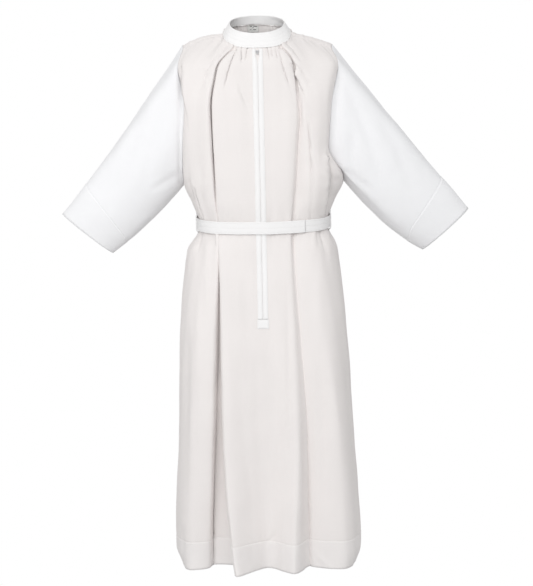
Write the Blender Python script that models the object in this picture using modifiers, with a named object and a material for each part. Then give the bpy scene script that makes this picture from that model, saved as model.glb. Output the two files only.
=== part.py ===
"""An alb, the long white robe of a vested minister, filled out as if worn and held up at the shoulders.

Blender 4.5, metres, +Z up. The front faces -Y and +X is the viewer's right. The origin is the neck point,
between the shoulders at the foot of the collar. Cloth walls are lofted through level sections of the body,
which a short table gives at each height, and through rings along the sleeves.
"""

import math
from collections import namedtuple

import bmesh
import bpy
from mathutils import Vector
from mathutils.geometry import convex_hull_2d

OBJECT_NAME = "alb_robe"

# Walls and gaps
CLOTH_WALL = 0.0015
HEM_WALL = 0.0030
COLLAR_WALL = 0.0022
BELT_WALL = 0.0020
STRIP_WALL = 0.0010
SEAM_GAP = 0.0003
ARMHOLE_GAP = 0.0024

# Collar: a tilted oval band, lower in front
COLLAR_TILT = 0.44
COLLAR_FOOT = {
    "half_width": 0.0895, "front": 0.083, "back": 0.078, "square": 3.0, "height": -0.006, "rise": 0.012, "back_up": 0.0105
}
COLLAR_TOP = {
    "half_width": 0.0725, "front": 0.075, "back": 0.074, "square": 2.3, "height": 0.0287, "rise": 0.004, "back_up": 0.0
}
NECK_DROP = 0.0026

# Shoulder: its ridge falls from the neck to the armhole, and the seam lies in front of and under the ridge
SHOULDER_X = 0.198
RIDGE_AT_NECK = 0.0163
RIDGE = {"left": {"slope": 0.386, "bow": 0.0035}, "right": {"slope": 0.426, "bow": -0.0015}}
SEAM_DROP = {"at_neck": 0.0211, "at_arm": 0.0090, "curve": 2.5}
SEAM_FORWARD_AT_ARM = 0.0070
YOKE = 0.10
YOKE_LEAVES_FRONT = (0.0, -0.034, -0.040)
YOKE_LEAVES_BACK = (0.0, 0.045, -0.030)
YOKE_LEAVES_SHOULDER = (0.0, 0.150, 0.130)

# Armhole and hem
ARMHOLE_MIDDLE = 0.210
ARMHOLE_HALF_HEIGHT = 0.175
ARMHOLE_HALF_DEPTH = 0.074
HEM = 1.395
HEM_BAND = 0.072
HEM_DIP = 0.028
HEM_DIP_FROM = 0.60

# A half section of the body at each height: how far down it is, and for each fold line its distance to
# the side (x) and out from the middle (out). edge is the rim of the middle panel, root and deep the bottom
# of the pleat, lip where the outer panel comes out of the pleat, and crest the outer panel's ridge.
Half = namedtuple(
    "Half",
    "down side edge_x edge_out root_x root_out deep_x deep_out lip_x lip_out crest_x crest_out",
)
FRONT_LEFT = (
    Half(0.100, 0.2085, 0.1035, 0.103, 0.1060, 0.097, 0.1090, 0.091, 0.1150, 0.102, 0.145, 0.090),
    Half(0.200, 0.1955, 0.1185, 0.112, 0.1195, 0.099, 0.1235, 0.088, 0.1305, 0.116, 0.158, 0.104),
    Half(0.300, 0.2015, 0.1170, 0.115, 0.1180, 0.102, 0.1215, 0.091, 0.1275, 0.119, 0.160, 0.106),
    Half(0.385, 0.2030, 0.1150, 0.117, 0.1165, 0.108, 0.1190, 0.101, 0.1225, 0.117, 0.160, 0.100),
    Half(0.440, 0.1840, 0.1130, 0.114, 0.1150, 0.108, 0.1170, 0.104, 0.1200, 0.111, 0.148, 0.092),
    Half(0.505, 0.1640, 0.1080, 0.103, 0.1100, 0.099, 0.1120, 0.097, 0.1150, 0.099, 0.138, 0.080),
    Half(0.570, 0.2000, 0.1080, 0.127, 0.1100, 0.118, 0.1120, 0.112, 0.1150, 0.120, 0.155, 0.095),
    Half(0.800, 0.2240, 0.1060, 0.162, 0.1090, 0.128, 0.1190, 0.114, 0.1290, 0.152, 0.175, 0.145),
    Half(1.050, 0.2350, 0.1060, 0.196, 0.1060, 0.142, 0.1340, 0.120, 0.1390, 0.168, 0.188, 0.164),
    Half(1.350, 0.2485, 0.0880, 0.240, 0.0870, 0.152, 0.1480, 0.138, 0.1550, 0.171, 0.204, 0.173),
    Half(1.395, 0.2310, 0.0810, 0.250, 0.0800, 0.152, 0.1490, 0.142, 0.1580, 0.171, 0.203, 0.176),
)
FRONT_RIGHT = (
    Half(0.100, 0.2095, 0.0935, 0.104, 0.0965, 0.098, 0.0995, 0.094, 0.1050, 0.101, 0.130, 0.097),
    Half(0.200, 0.1900, 0.0980, 0.114, 0.1010, 0.107, 0.1045, 0.101, 0.1085, 0.104, 0.1185, 0.118),
    Half(0.300, 0.1835, 0.0915, 0.119, 0.0940, 0.111, 0.0970, 0.103, 0.1010, 0.106, 0.1285, 0.125),
    Half(0.385, 0.2240, 0.0865, 0.121, 0.0890, 0.112, 0.0920, 0.104, 0.0965, 0.107, 0.1315, 0.126),
    Half(0.440, 0.1970, 0.0825, 0.119, 0.0850, 0.111, 0.0880, 0.105, 0.0930, 0.107, 0.1320, 0.117),
    Half(0.505, 0.1780, 0.0765, 0.114, 0.0790, 0.109, 0.0820, 0.104, 0.0870, 0.104, 0.1320, 0.093),
    Half(0.570, 0.2040, 0.0765, 0.127, 0.0790, 0.118, 0.0830, 0.111, 0.0880, 0.118, 0.1400, 0.117),
    Half(0.800, 0.2275, 0.0810, 0.158, 0.0860, 0.140, 0.0910, 0.124, 0.0995, 0.141, 0.1625, 0.152),
    Half(1.050, 0.2390, 0.0850, 0.192, 0.0940, 0.162, 0.1030, 0.136, 0.1145, 0.158, 0.1930, 0.172),
    Half(1.350, 0.2545, 0.0700, 0.232, 0.0930, 0.176, 0.1085, 0.148, 0.1160, 0.175, 0.2040, 0.190),
    Half(1.395, 0.2400, 0.0680, 0.237, 0.0930, 0.178, 0.1080, 0.152, 0.1170, 0.176, 0.1980, 0.194),
)
BACK = (
    Half(0.100, 0.0, 0.034, 0.098, 0.040, 0.095, 0.046, 0.093, 0.053, 0.097, 0.125, 0.092),
    Half(0.200, 0.0, 0.046, 0.119, 0.051, 0.112, 0.057, 0.107, 0.065, 0.115, 0.138, 0.106),
    Half(0.300, 0.0, 0.052, 0.124, 0.057, 0.114, 0.064, 0.108, 0.073, 0.119, 0.142, 0.105),
    Half(0.385, 0.0, 0.055, 0.121, 0.060, 0.112, 0.066, 0.107, 0.075, 0.116, 0.146, 0.099),
    Half(0.440, 0.0, 0.057, 0.112, 0.062, 0.106, 0.067, 0.102, 0.075, 0.108, 0.142, 0.090),
    Half(0.505, 0.0, 0.058, 0.100, 0.062, 0.097, 0.066, 0.095, 0.073, 0.096, 0.136, 0.076),
    Half(0.570, 0.0, 0.059, 0.113, 0.063, 0.107, 0.068, 0.102, 0.076, 0.109, 0.148, 0.094),
    Half(0.800, 0.0, 0.064, 0.151, 0.069, 0.134, 0.077, 0.122, 0.088, 0.143, 0.168, 0.138),
    Half(1.050, 0.0, 0.068, 0.177, 0.074, 0.152, 0.085, 0.134, 0.099, 0.160, 0.180, 0.158),
    Half(1.350, 0.0, 0.072, 0.203, 0.079, 0.166, 0.094, 0.146, 0.113, 0.176, 0.196, 0.176),
    Half(1.395, 0.0, 0.072, 0.206, 0.079, 0.168, 0.094, 0.149, 0.113, 0.178, 0.192, 0.178),
)
FRONT_MIDDLE = (0.110, 0.118, 0.124, 0.128, 0.128, 0.1255, 0.132, 0.158, 0.173, 0.184, 0.184)
BACK_MIDDLE = (0.099, 0.118, 0.121, 0.117, 0.109, 0.099, 0.110, 0.144, 0.160, 0.176, 0.177)
FLANK_SHARE = 0.80
FLANK_OUT = 0.58

# Where each fold line meets the collar, in degrees round its oval, and then along the shoulder seam
SHOULDER_ANGLE = 84.0
NECK_ANGLES = {
    "front_left": (0.0, 29.4, 32.1, 35.4, 39.3, SHOULDER_ANGLE),
    "front_right": (0.0, 32.6, 35.4, 38.2, 42.1, SHOULDER_ANGLE),
    "back": (0.0, 20.0, 25.0, 30.0, 37.0, 180.0 - SHOULDER_ANGLE),
}
SHOULDER_SHARES = (0.0, 0.55, 1.0)
STATIONS = 7

# Rows down the cloth and steps between the fold lines, from the middle outwards
ROWS = (
    0.0, 0.025, 0.060, 0.10, 0.15, 0.20, 0.25, 0.30, 0.345, 0.370, 0.385, 0.412, 0.44, 0.472,
    0.500, 0.528, 0.57, 0.62, 0.70, 0.80, 0.92, 1.05, 1.18, 1.30, 1.36, HEM,
)
UNDERARM_ROW = ROWS.index(0.385)
FRONT_STEPS = (2, 1, 1, 1, 3, 2, 2)
BACK_STEPS = (1, 1, 1, 1, 3, 2, 2)

# Sleeves
SLEEVE_RINGS = (0.0, 0.14, 0.30, 0.48, 0.66, 0.80, 1.0)
SLEEVE_HEM_FROM = 0.79
CUFFS = {
    "left": {"top": (-0.5332, -0.4646), "bottom": (-0.4019, -0.5713)},
    "right": {"top": (0.5597, -0.4713), "bottom": (0.4358, -0.5795)},
}
CUFF_HALF_DEPTH = 0.046
SLEEVE_FULLNESS = 0.20
SLEEVE_SAG = {"left": {"top": 0.008, "bottom": 0.012}, "right": {"top": 0.002, "bottom": 0.020}}

# Zip
BY_THE_SLIT = (-0.0160, -0.0040, 0.0040, 0.0160)
LIP_WIDTH = 0.0135
LIP_TOP = 0.009
ZIP_END = 0.745
PATCH_HALF = 0.0150
PATCH_HEIGHT = 0.024
TAPE_HALF = 0.0125
STRIP_EASE = 0.0006
LIP_INNER = 0.0004
LIP_PARTED = 0.0048
LIP_PARTED_FROM = 0.086
LIP_PARTING = 0.028
SLIDER_DOWN = 0.026
SLIDER_SIZE = (0.0074, 0.0022, 0.0090)
SLIDER_OUT = 0.0004
LUG_WALL = 0.0009
LUG_HEIGHT = 0.0030
PIN_RADIUS = 0.00055
PIN_OUT = 0.0032
PIN_RISE = 0.0020
TAB_SIZE = (0.0046, 0.0009, 0.0130)
TAB_BARREL = 0.00125
TAB_BORE = 0.00080
TAB_SIDE_PLAY = 0.00035
ROUND_STEPS = 24

# Belt and its carriers
BELT_HEIGHT = 0.031
BELT_AT_SIDE = -0.4945
BELT_TILT = 0.115
BELT_STEPS = 48
BELT_SMOOTHING = 2
BELT_EASE = 0.0012
BELT_START = 14.0
BELT_END = 406.0
BELT_LAP_RISES = (352.0, 370.0)
CARRIER_ANGLE = 84.0
CARRIER_HALF_ANGLE = 2.6
CARRIER_REACH = 0.012
CARRIER_CLEAR = 0.0035
CARRIER_EASE = 0.0036

# Label inside the back of the neck
LABEL_COLUMNS = (-0.0260, -0.0130, 0.0, 0.0050)
LABEL_ROWS = (0.003, 0.0135, 0.024)

COLOURS = {
    "body_cloth": (0.86, 0.84, 0.82, 1.0),
    "sleeve_cloth": (0.90, 0.90, 0.90, 1.0),
    "trim_cloth": (0.92, 0.92, 0.92, 1.0),
    "zip_metal": (0.55, 0.55, 0.56, 1.0),
    "label_cloth": (0.88, 0.88, 0.86, 1.0),
}
METALS = ("zip_metal",)


def clear_scene():
    """Removes whatever the file held."""
    for found in list(bpy.data.objects):
        bpy.data.objects.remove(found, do_unlink=True)


def material(node_name, finish):
    """A Principled material for one node."""
    made = bpy.data.materials.new(node_name)
    made.use_nodes = True
    made.diffuse_color = COLOURS[finish]
    shader = made.node_tree.nodes["Principled BSDF"]
    shader.inputs["Base Color"].default_value = COLOURS[finish]
    shader.inputs["Roughness"].default_value = 0.35 if finish in METALS else 0.85
    shader.inputs["Metallic"].default_value = 1.0 if finish in METALS else 0.0
    return made


def new_object(name, bm, finish, collection):
    """A named object with its own material, from a bmesh."""
    mesh = bpy.data.meshes.new(name)
    bm.to_mesh(mesh)
    bm.free()
    mesh.materials.append(material(name, finish))
    made = bpy.data.objects.new(name, mesh)
    collection.objects.link(made)
    return made


def mix(a, b, share):
    """The value that share of the way from a to b."""
    return a + (b - a) * share


def between_heights(heights, values, at):
    """Smooth values between the table's rows, with no overshoot."""
    if at <= heights[0]:
        return values[0]
    if at >= heights[-1]:
        return values[-1]
    k = max(i for i in range(len(heights) - 1) if heights[i] <= at)
    slopes = [
        (values[i + 1] - values[i]) / (heights[i + 1] - heights[i]) for i in range(len(heights) - 1)
    ]

    def tangent(i):
        if i == 0 or i == len(heights) - 1:
            return slopes[0] if i == 0 else slopes[-1]
        before, after = slopes[i - 1], slopes[i]
        return 0.0 if before * after <= 0 else 2 * before * after / (before + after)

    span = heights[k + 1] - heights[k]
    t = (at - heights[k]) / span
    return (
        (2 * t**3 - 3 * t**2 + 1) * values[k]
        + (t**3 - 2 * t**2 + t) * span * tangent(k)
        + (3 * t**2 - 2 * t**3) * values[k + 1]
        + (t**3 - t**2) * span * tangent(k + 1)
    )


def half_stations(table, sides, middle, down):
    """The fold lines of a half section, from the middle to the side, as (x, out)."""
    heights = [row.down for row in table]

    def read(column):
        return between_heights(heights, [getattr(row, column) for row in table], down)

    lines = [(0.0, between_heights(heights, middle, down))]
    for line in ("edge", "root", "deep", "lip", "crest"):
        lines.append((read(line + "_x"), read(line + "_out")))
    side = between_heights(heights, [row.side for row in sides], down)
    crest_x, crest_out = lines[-1]
    arm = (down - ARMHOLE_MIDDLE) / ARMHOLE_HALF_HEIGHT
    side_out = ARMHOLE_HALF_DEPTH * math.sqrt(1 - arm * arm) if abs(arm) < 1 else 0.0
    lines.append((mix(crest_x, side, FLANK_SHARE), mix(side_out, crest_out, FLANK_OUT)))
    lines.append((side, side_out))
    return lines


def section(panel, down):
    """A panel's fold lines at a height, from the left side to the right, as points in plan."""
    if panel == "front":
        left = half_stations(FRONT_LEFT, FRONT_LEFT, FRONT_MIDDLE, down)
        right = half_stations(FRONT_RIGHT, FRONT_RIGHT, FRONT_MIDDLE, down)
        facing = -1.0
    else:
        left = half_stations(BACK, FRONT_LEFT, BACK_MIDDLE, down)
        right = half_stations(BACK, FRONT_RIGHT, BACK_MIDDLE, down)
        facing = 1.0
    points = [Vector((-x, facing * out)) for x, out in reversed(left)]
    points += [Vector((x, facing * out)) for x, out in right[1:]]
    return points


def through(points, index, share):
    """A point on the smooth curve through four plan points, between the two in the middle."""
    a, b, c, d = points[index : index + 4]
    knots = [0.0]
    for p, q in ((a, b), (b, c), (c, d)):
        knots.append(knots[-1] + max((q - p).length, 1e-5) ** 0.5)
    t = mix(knots[1], knots[2], share)

    def level(p, q, i, j):
        return p * ((knots[j] - t) / (knots[j] - knots[i])) + q * ((t - knots[i]) / (knots[j] - knots[i]))

    ab, bc, cd = level(a, b, 0, 1), level(b, c, 1, 2), level(c, d, 2, 3)
    return level(level(ab, bc, 0, 2), level(bc, cd, 1, 3), 1, 2)


def plan_point(panel, line, down):
    """The cloth in plan, at a fold line from -7 (left side) to 7 (right side)."""
    own = section(panel, down)
    other = section("back" if panel == "front" else "front", down)
    if down >= ARMHOLE_MIDDLE + ARMHOLE_HALF_HEIGHT:
        before, after = other[1], other[-2]
    else:
        before, after = 2 * own[0] - own[1], 2 * own[-1] - own[-2]
    points = [before, *own, after]
    place = min(max(line + STATIONS, 0.0), 2 * STATIONS)
    index = min(int(place), 2 * STATIONS - 1)
    return through(points, index, place - index)


def oval_point(ring, angle, drop=0.0):
    """A point of one of the collar's ovals, at an angle in degrees from the middle of the front."""
    turn = math.radians(angle)
    across, ahead = math.sin(turn), math.cos(turn)
    power = 2 / ring["square"] if ahead > 0 else 1.0
    depth = ring["front"] if ahead > 0 else ring["back"]
    x = ring["half_width"] * math.copysign(abs(across) ** power, across)
    y = -depth * math.copysign(abs(ahead) ** power, ahead)
    rise = ring["rise"] * across**2 + ring["back_up"] * min(ahead, 0.0) ** 2
    return Vector((x, y, ring["height"] + COLLAR_TILT * y + rise - drop))


def ridge_height(x, side):
    """The height of the shoulder's ridge."""
    neck = oval_point(COLLAR_FOOT, SHOULDER_ANGLE).x
    past = abs(x) - neck
    share = past / (SHOULDER_X - neck)
    ridge = RIDGE["right" if side > 0 else "left"]
    return RIDGE_AT_NECK - ridge["slope"] * past + 4 * ridge["bow"] * share * (1 - share)


def seam_point(share, side):
    """A point of the shoulder seam, from the collar to the armhole."""
    start = oval_point(COLLAR_FOOT, SHOULDER_ANGLE)
    x = mix(start.x, SHOULDER_X, share)
    drop = mix(SEAM_DROP["at_arm"], SEAM_DROP["at_neck"], (1 - share) ** SEAM_DROP["curve"])
    return Vector((side * x, mix(start.y, -SEAM_FORWARD_AT_ARM, share), ridge_height(x, side) - drop))


def top_point(panel, line):
    """Where a fold line meets the collar or the shoulder seam."""
    side = 1 if line >= 0 else -1
    size = abs(line)
    if panel == "back":
        angles = NECK_ANGLES["back"]
    else:
        angles = NECK_ANGLES["front_right" if side > 0 else "front_left"]
    neck = len(angles) - 1
    if size < neck:
        index = int(size)
        angle = mix(angles[index], angles[index + 1], size - index)
        point = oval_point(COLLAR_FOOT, angle if panel == "front" else 180.0 - angle, NECK_DROP)
        return Vector((side * point.x, point.y, point.z))
    index = min(int(size - neck), len(SHOULDER_SHARES) - 2)
    share = mix(SHOULDER_SHARES[index], SHOULDER_SHARES[index + 1], size - neck - index)
    return seam_point(share, side)


def hem_dip(line, down):
    """How much lower the cloth hangs at the sides than in the middle."""
    share = max(0.0, (down - HEM_DIP_FROM) / (HEM - HEM_DIP_FROM))
    return HEM_DIP * share * (abs(line) / STATIONS) ** 6


def lower_point(panel, line, down):
    """The cloth below the yoke."""
    plan = plan_point(panel, line, down)
    return Vector((plan.x, plan.y, -down - hem_dip(line, down)))


def cloth_point(panel, line, down):
    """A point of the front or the back, by its fold line and how far down it is."""
    if down >= YOKE:
        return lower_point(panel, line, down)
    start, end = top_point(panel, line), lower_point(panel, line, YOKE)
    leaving = (lower_point(panel, line, YOKE + 0.01) - end) * (YOKE / 0.01)
    if panel == "front":
        setting_off = Vector(YOKE_LEAVES_FRONT)
    else:
        over_shoulder = min(max(0.0, abs(line) - 4.0), 1.0)
        setting_off = Vector(YOKE_LEAVES_BACK).lerp(Vector(YOKE_LEAVES_SHOULDER), over_shoulder)
    t = down / YOKE
    return (
        (2 * t**3 - 3 * t**2 + 1) * start
        + (t**3 - 2 * t**2 + t) * setting_off
        + (3 * t**2 - 2 * t**3) * end
        + (t**3 - t**2) * leaving
    )


def cloth_normal(panel, line, down):
    """The outward direction of the cloth at a point."""
    step = 0.02
    across = cloth_point(panel, line + step, down) - cloth_point(panel, line - step, down)
    along = cloth_point(panel, line, down + 0.002) - cloth_point(panel, line, max(down - 0.002, 0.0))
    normal = along.cross(across) if panel == "front" else across.cross(along)
    return normal.normalized()


def line_at(x, down):
    """The front's fold line at a place across the middle panel, found by halving."""
    low, high = -1.0, 1.0
    for _ in range(24):
        middle = (low + high) / 2
        if cloth_point("front", middle, down).x < x:
            low = middle
        else:
            high = middle
    return (low + high) / 2


def on_rows(rows, x, down):
    """A point of a panel's own facets, between its rows and its columns."""
    r = max(i for i in range(len(ROWS) - 1) if ROWS[i] <= down)
    ends = []
    for row in (rows[r], rows[r + 1]):
        middle_part = sorted(row, key=lambda point: abs(point.x - x))[:4]
        before = max((p for p in middle_part if p.x <= x), key=lambda point: point.x)
        after = min((p for p in middle_part if p.x > x), key=lambda point: point.x)
        ends.append(before.lerp(after, (x - before.x) / (after.x - before.x)))
    return ends[0].lerp(ends[1], (down - ROWS[r]) / (ROWS[r + 1] - ROWS[r]))


def on_front(rows, x, down, out):
    """A point that far out from the front's middle panel."""
    return on_rows(rows, x, down) + out * cloth_normal("front", line_at(x, down), down)


def loft(name, rows, finish, wall, collection, closed=False, skip=(), thick_rows=(), thick_wall=None):
    """A cloth wall through rows of points, each from the viewer's left to right, with its outside in front."""
    bm = bmesh.new()
    grid = [[bm.verts.new(point) for point in row] for row in rows]
    columns = len(rows[0])
    for r in range(len(rows) - 1):
        for c in range(columns if closed else columns - 1):
            if (r, c) not in skip:
                n = (c + 1) % columns
                bm.faces.new((grid[r][c], grid[r + 1][c], grid[r + 1][n], grid[r][n]))
    bmesh.ops.delete(bm, geom=[v for v in bm.verts if not v.link_faces], context="VERTS")
    for face in bm.faces:
        face.smooth = True
    thick = [v for r in thick_rows for v in grid[r] if v.is_valid]
    bm.verts.index_update()
    thick_indices = [v.index for v in thick]
    made = new_object(name, bm, finish, collection)
    shell = made.modifiers.new("wall", "SOLIDIFY")
    shell.thickness = thick_wall or wall
    shell.offset = 0.0
    shell.use_even_offset = False
    if thick_wall:
        group = made.vertex_groups.new(name="hem")
        group.add(thick_indices, 1.0, "REPLACE")
        shell.vertex_group = group.name
        shell.thickness_vertex_group = wall / thick_wall
    return made


def trimmed(rows, left=0.0, right=0.0, top=0.0, bottom=0.0):
    """Rows of points whose edges are drawn in by these distances."""

    def drawn_in(point, towards, distance):
        return point + (towards - point).normalized() * distance

    rows = [list(row) for row in rows]
    for row in rows:
        row[0] = drawn_in(row[0], row[1], left)
        row[-1] = drawn_in(row[-1], row[-2], right)
    for c in range(len(rows[0])):
        rows[0][c] = drawn_in(rows[0][c], rows[1][c], top)
        rows[-1][c] = drawn_in(rows[-1][c], rows[-2][c], bottom)
    return rows


def lines_across(steps):
    """The fold lines of a panel's columns, from its left side to its right."""
    half = [0.0]
    for index, count in enumerate(steps):
        half += [index + (k + 1) / count for k in range(count)]
    return [-line for line in reversed(half[1:])] + half


def panel_rows(panel, lines_for_row):
    """A panel's points, a row for each height."""
    return [[cloth_point(panel, line, down) for line in lines_for_row(down)] for down in ROWS]


def hem_rows():
    """The rows of the turned hem, where the cloth is double."""
    return [r for r, down in enumerate(ROWS) if down > HEM - HEM_BAND - 0.01]


def front_panel(collection):
    """The front in one piece, with the slit for the zip. Returns its rows of points."""
    lines = [line for line in lines_across(FRONT_STEPS) if line != 0.0]
    half = len(lines) // 2

    def row_lines(down):
        return lines[:half] + [line_at(x, down) for x in BY_THE_SLIT] + lines[half:]

    rows = panel_rows("front", row_lines)
    rows = trimmed(rows, left=SEAM_GAP, right=SEAM_GAP, top=SEAM_GAP)
    slit = {(r, half + 1) for r in range(len(ROWS) - 1) if ROWS[r + 1] < ZIP_END}
    loft("front", rows, "body_cloth", CLOTH_WALL, collection, skip=slit, thick_rows=hem_rows(), thick_wall=HEM_WALL)
    return rows


def back_panel(collection):
    """The back, which comes over the shoulders. Returns its rows of points."""
    lines = list(reversed(lines_across(BACK_STEPS)))
    rows = panel_rows("back", lambda down: lines)
    rows = trimmed(rows, left=SEAM_GAP, right=SEAM_GAP, top=SEAM_GAP)
    loft("back", rows, "body_cloth", CLOTH_WALL, collection, thick_rows=hem_rows(), thick_wall=HEM_WALL)
    return rows


def shares_round(ring):
    """For each point of an armhole, its share of the way round: 0 at the top, a half at the underarm."""
    top = max(range(len(ring)), key=lambda i: ring[i].z)
    low = min(range(len(ring)), key=lambda i: ring[i].z)
    count = len(ring)

    def length(start, steps):
        return sum((ring[(start + k + 1) % count] - ring[(start + k) % count]).length for k in range(steps))

    down_steps, up_steps = (low - top) % count, (top - low) % count
    shares = [0.0] * count
    for k in range(down_steps):
        shares[(top + k) % count] = 0.5 * length(top, k) / length(top, down_steps)
    for k in range(up_steps):
        shares[(low + k) % count] = 0.5 + 0.5 * length(low, k) / length(low, up_steps)
    return shares


def sleeve(side, front_rows, back_rows, collection):
    """A sleeve, lofted from the armhole's own edge to the oval of the cuff."""
    front_column, back_column = (0, -1) if side == "left" else (-1, 0)
    ring = [front_rows[r][front_column] for r in range(UNDERARM_ROW + 1)]
    ring += [back_rows[r][back_column] for r in range(UNDERARM_ROW - 1, 0, -1)]
    top, bottom = (Vector((x, 0.0, z)) for x, z in (CUFFS[side]["top"], CUFFS[side]["bottom"]))
    middle, upward = (top + bottom) / 2, (top - bottom) / 2
    outward = Vector((-1.0 if side == "left" else 1.0, 0.0, 0.0))
    shares = shares_round(ring)
    rows = []
    for t in SLEEVE_RINGS:
        row = []
        for point, share in zip(ring, shares):
            turn = 2 * math.pi * share
            cuff = middle + upward * math.cos(turn) + Vector((0.0, -CUFF_HALF_DEPTH * math.sin(turn), 0.0))
            placed = (point + outward * ARMHOLE_GAP).lerp(cuff, t)
            placed.y *= 1 + SLEEVE_FULLNESS * math.sin(math.pi * t)
            sag = mix(SLEEVE_SAG[side]["top"], SLEEVE_SAG[side]["bottom"], (1 - math.cos(turn)) / 2)
            placed.z -= 4 * t * (1 - t) * sag
            row.append(placed)
        rows.append(row if side == "right" else list(reversed(row)))
    double = [r for r, t in enumerate(SLEEVE_RINGS) if t > SLEEVE_HEM_FROM]
    name = "sleeve_" + side
    loft(name, rows, "sleeve_cloth", CLOTH_WALL, collection, closed=True, thick_rows=double, thick_wall=HEM_WALL)


def collar(collection):
    """The stand collar, whose ends meet at the middle of the front."""
    rows = []
    for share in (1.0, 0.5, 0.0):
        ring = {key: mix(COLLAR_FOOT[key], COLLAR_TOP[key], share) for key in COLLAR_FOOT}
        steps = 32
        end = math.degrees(SEAM_GAP / ring["half_width"])
        rows.append([oval_point(ring, mix(end, 360.0 - end, k / steps)) for k in range(steps + 1)])
    loft("collar", rows, "trim_cloth", COLLAR_WALL, collection)


def strip_on_front(name, front_rows, columns_for_row, downs, out, collection):
    """A flat strip made from the front's own points, moved out or in."""
    rows = [[on_front(front_rows, x, down, out) for x in columns_for_row(down)] for down in downs]
    loft(name, rows, "trim_cloth", STRIP_WALL, collection)


def zip_strips(front_rows, collection):
    """The two lips over the zip, the tape behind them and the patch that ends it."""
    out = CLOTH_WALL / 2 + STRIP_EASE + STRIP_WALL / 2
    downs = [LIP_TOP] + [down for down in ROWS if LIP_TOP < down < ZIP_END] + [ZIP_END]

    def lip_columns(side):
        def columns(down):
            parted = min(max((LIP_PARTED_FROM - down) / LIP_PARTING, 0.0), 1.0)
            inner = mix(LIP_INNER, LIP_PARTED, parted)
            across = (inner, LIP_WIDTH)
            return across if side > 0 else [-x for x in reversed(across)]

        return columns

    strip_on_front("zip_lip_left", front_rows, lip_columns(-1), downs, out, collection)
    strip_on_front("zip_lip_right", front_rows, lip_columns(1), downs, out, collection)
    tape = (-TAPE_HALF, 0.0, TAPE_HALF)
    strip_on_front("zip_tape", front_rows, lambda down: tape, downs, -out, collection)
    patch = [k * PATCH_HALF for k in (-1, 0, 1)]
    patch_downs = [ZIP_END + 2 * SEAM_GAP, ZIP_END + PATCH_HEIGHT / 2, ZIP_END + PATCH_HEIGHT]
    strip_on_front("zip_end_patch", front_rows, lambda down: patch, patch_downs, out, collection)


def block(size, centre):
    """A box as a bmesh."""
    bm = bmesh.new()
    bmesh.ops.create_cube(bm, size=1.0)
    bmesh.ops.scale(bm, vec=size, verts=bm.verts)
    bmesh.ops.translate(bm, vec=centre, verts=bm.verts)
    return bm


def rod(radius, length, centre):
    """A cylinder along X as a bmesh."""
    bm = bmesh.new()
    bmesh.ops.create_cone(
        bm, cap_ends=True, segments=ROUND_STEPS, radius1=radius, radius2=radius, depth=length
    )
    turn = Vector((0, 0, 1)).rotation_difference(Vector((1, 0, 0))).to_matrix()
    bmesh.ops.rotate(bm, cent=(0, 0, 0), matrix=turn, verts=bm.verts)
    bmesh.ops.translate(bm, vec=centre, verts=bm.verts)
    return bm


def combine(target, bm, operation, name, place, tools):
    """Joins or cuts a shape with a Boolean modifier on the target."""
    mesh = bpy.data.meshes.new(name)
    bm.to_mesh(mesh)
    bm.free()
    tool = bpy.data.objects.new(name, mesh)
    tool.matrix_world = place
    tool.hide_render = True
    tool.display_type = "WIRE"
    tools.objects.link(tool)
    step = target.modifiers.new(name, "BOOLEAN")
    step.operation = operation
    step.solver = "EXACT"
    step.object = tool


def zip_pull(collection, tools):
    """The slider and the tab that swings on its pin. Their frame: X across, -Y out, Z up the cloth."""
    line = line_at(0.0, SLIDER_DOWN)
    out = cloth_normal("front", line, SLIDER_DOWN)
    out = Vector((0.0, out.y, out.z)).normalized()
    turn = Vector((0, -1, 0)).rotation_difference(out).to_matrix().to_4x4()
    on_cloth = cloth_point("front", line, SLIDER_DOWN)
    place = turn.copy()
    place.translation = on_cloth + turn.to_3x3() @ Vector((0.0, -PIN_OUT, PIN_RISE))
    inner = TAB_SIZE[0] / 2 + TAB_SIDE_PLAY
    plate_out = PIN_OUT - SLIDER_OUT

    slider = new_object("zip_slider", block(SLIDER_SIZE, (0.0, plate_out, -PIN_RISE)), "zip_metal", collection)
    slider.matrix_world = place
    lug_depth = PIN_OUT - SLIDER_OUT + 0.0009
    for name, side in (("slider_lug_left", -1), ("slider_lug_right", 1)):
        centre = (side * (inner + LUG_WALL / 2), lug_depth / 2 - 0.0009, 0.0)
        combine(slider, block((LUG_WALL, lug_depth, LUG_HEIGHT), centre), "UNION", name, place, tools)
    combine(slider, rod(PIN_RADIUS, 2 * inner + LUG_WALL, (0, 0, 0)), "UNION", "slider_pin", place, tools)

    plate = block(TAB_SIZE, (0.0, 0.0, -TAB_SIZE[2] / 2 - TAB_BORE - 0.0001))
    tab = new_object("zip_pull_tab", plate, "zip_metal", collection)
    tab.matrix_world = place
    combine(tab, rod(TAB_BARREL, TAB_SIZE[0] - 0.0002, (0, 0, 0)), "UNION", "tab_barrel", place, tools)
    combine(tab, rod(TAB_BORE, 2 * TAB_SIZE[0], (0, 0, 0)), "DIFFERENCE", "tab_bore", place, tools)


def belt_height(y):
    return BELT_AT_SIDE + BELT_TILT * y


def plan_outline(down):
    """The whole body's outline in plan at a height."""
    steps = [k / 4 - STATIONS for k in range(8 * STATIONS + 1)]
    front = [plan_point("front", line, down) for line in steps]
    return front + [plan_point("back", -line, down) for line in steps]


def radius_at(outline, angle):
    """How far out an outline reaches in a direction, in degrees from the front towards +X."""
    turn = math.radians(angle)
    ray = Vector((math.sin(turn), -math.cos(turn)))
    reach = 0.0
    for a, b in zip(outline, outline[1:] + outline[:1]):
        edge = b - a
        across = ray.cross(edge)
        if abs(across) > 1e-12:
            along, share = a.cross(edge) / across, a.cross(ray) / across
            if along > 0 and -1e-6 <= share <= 1 + 1e-6:
                reach = max(reach, along)
    return reach


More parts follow.
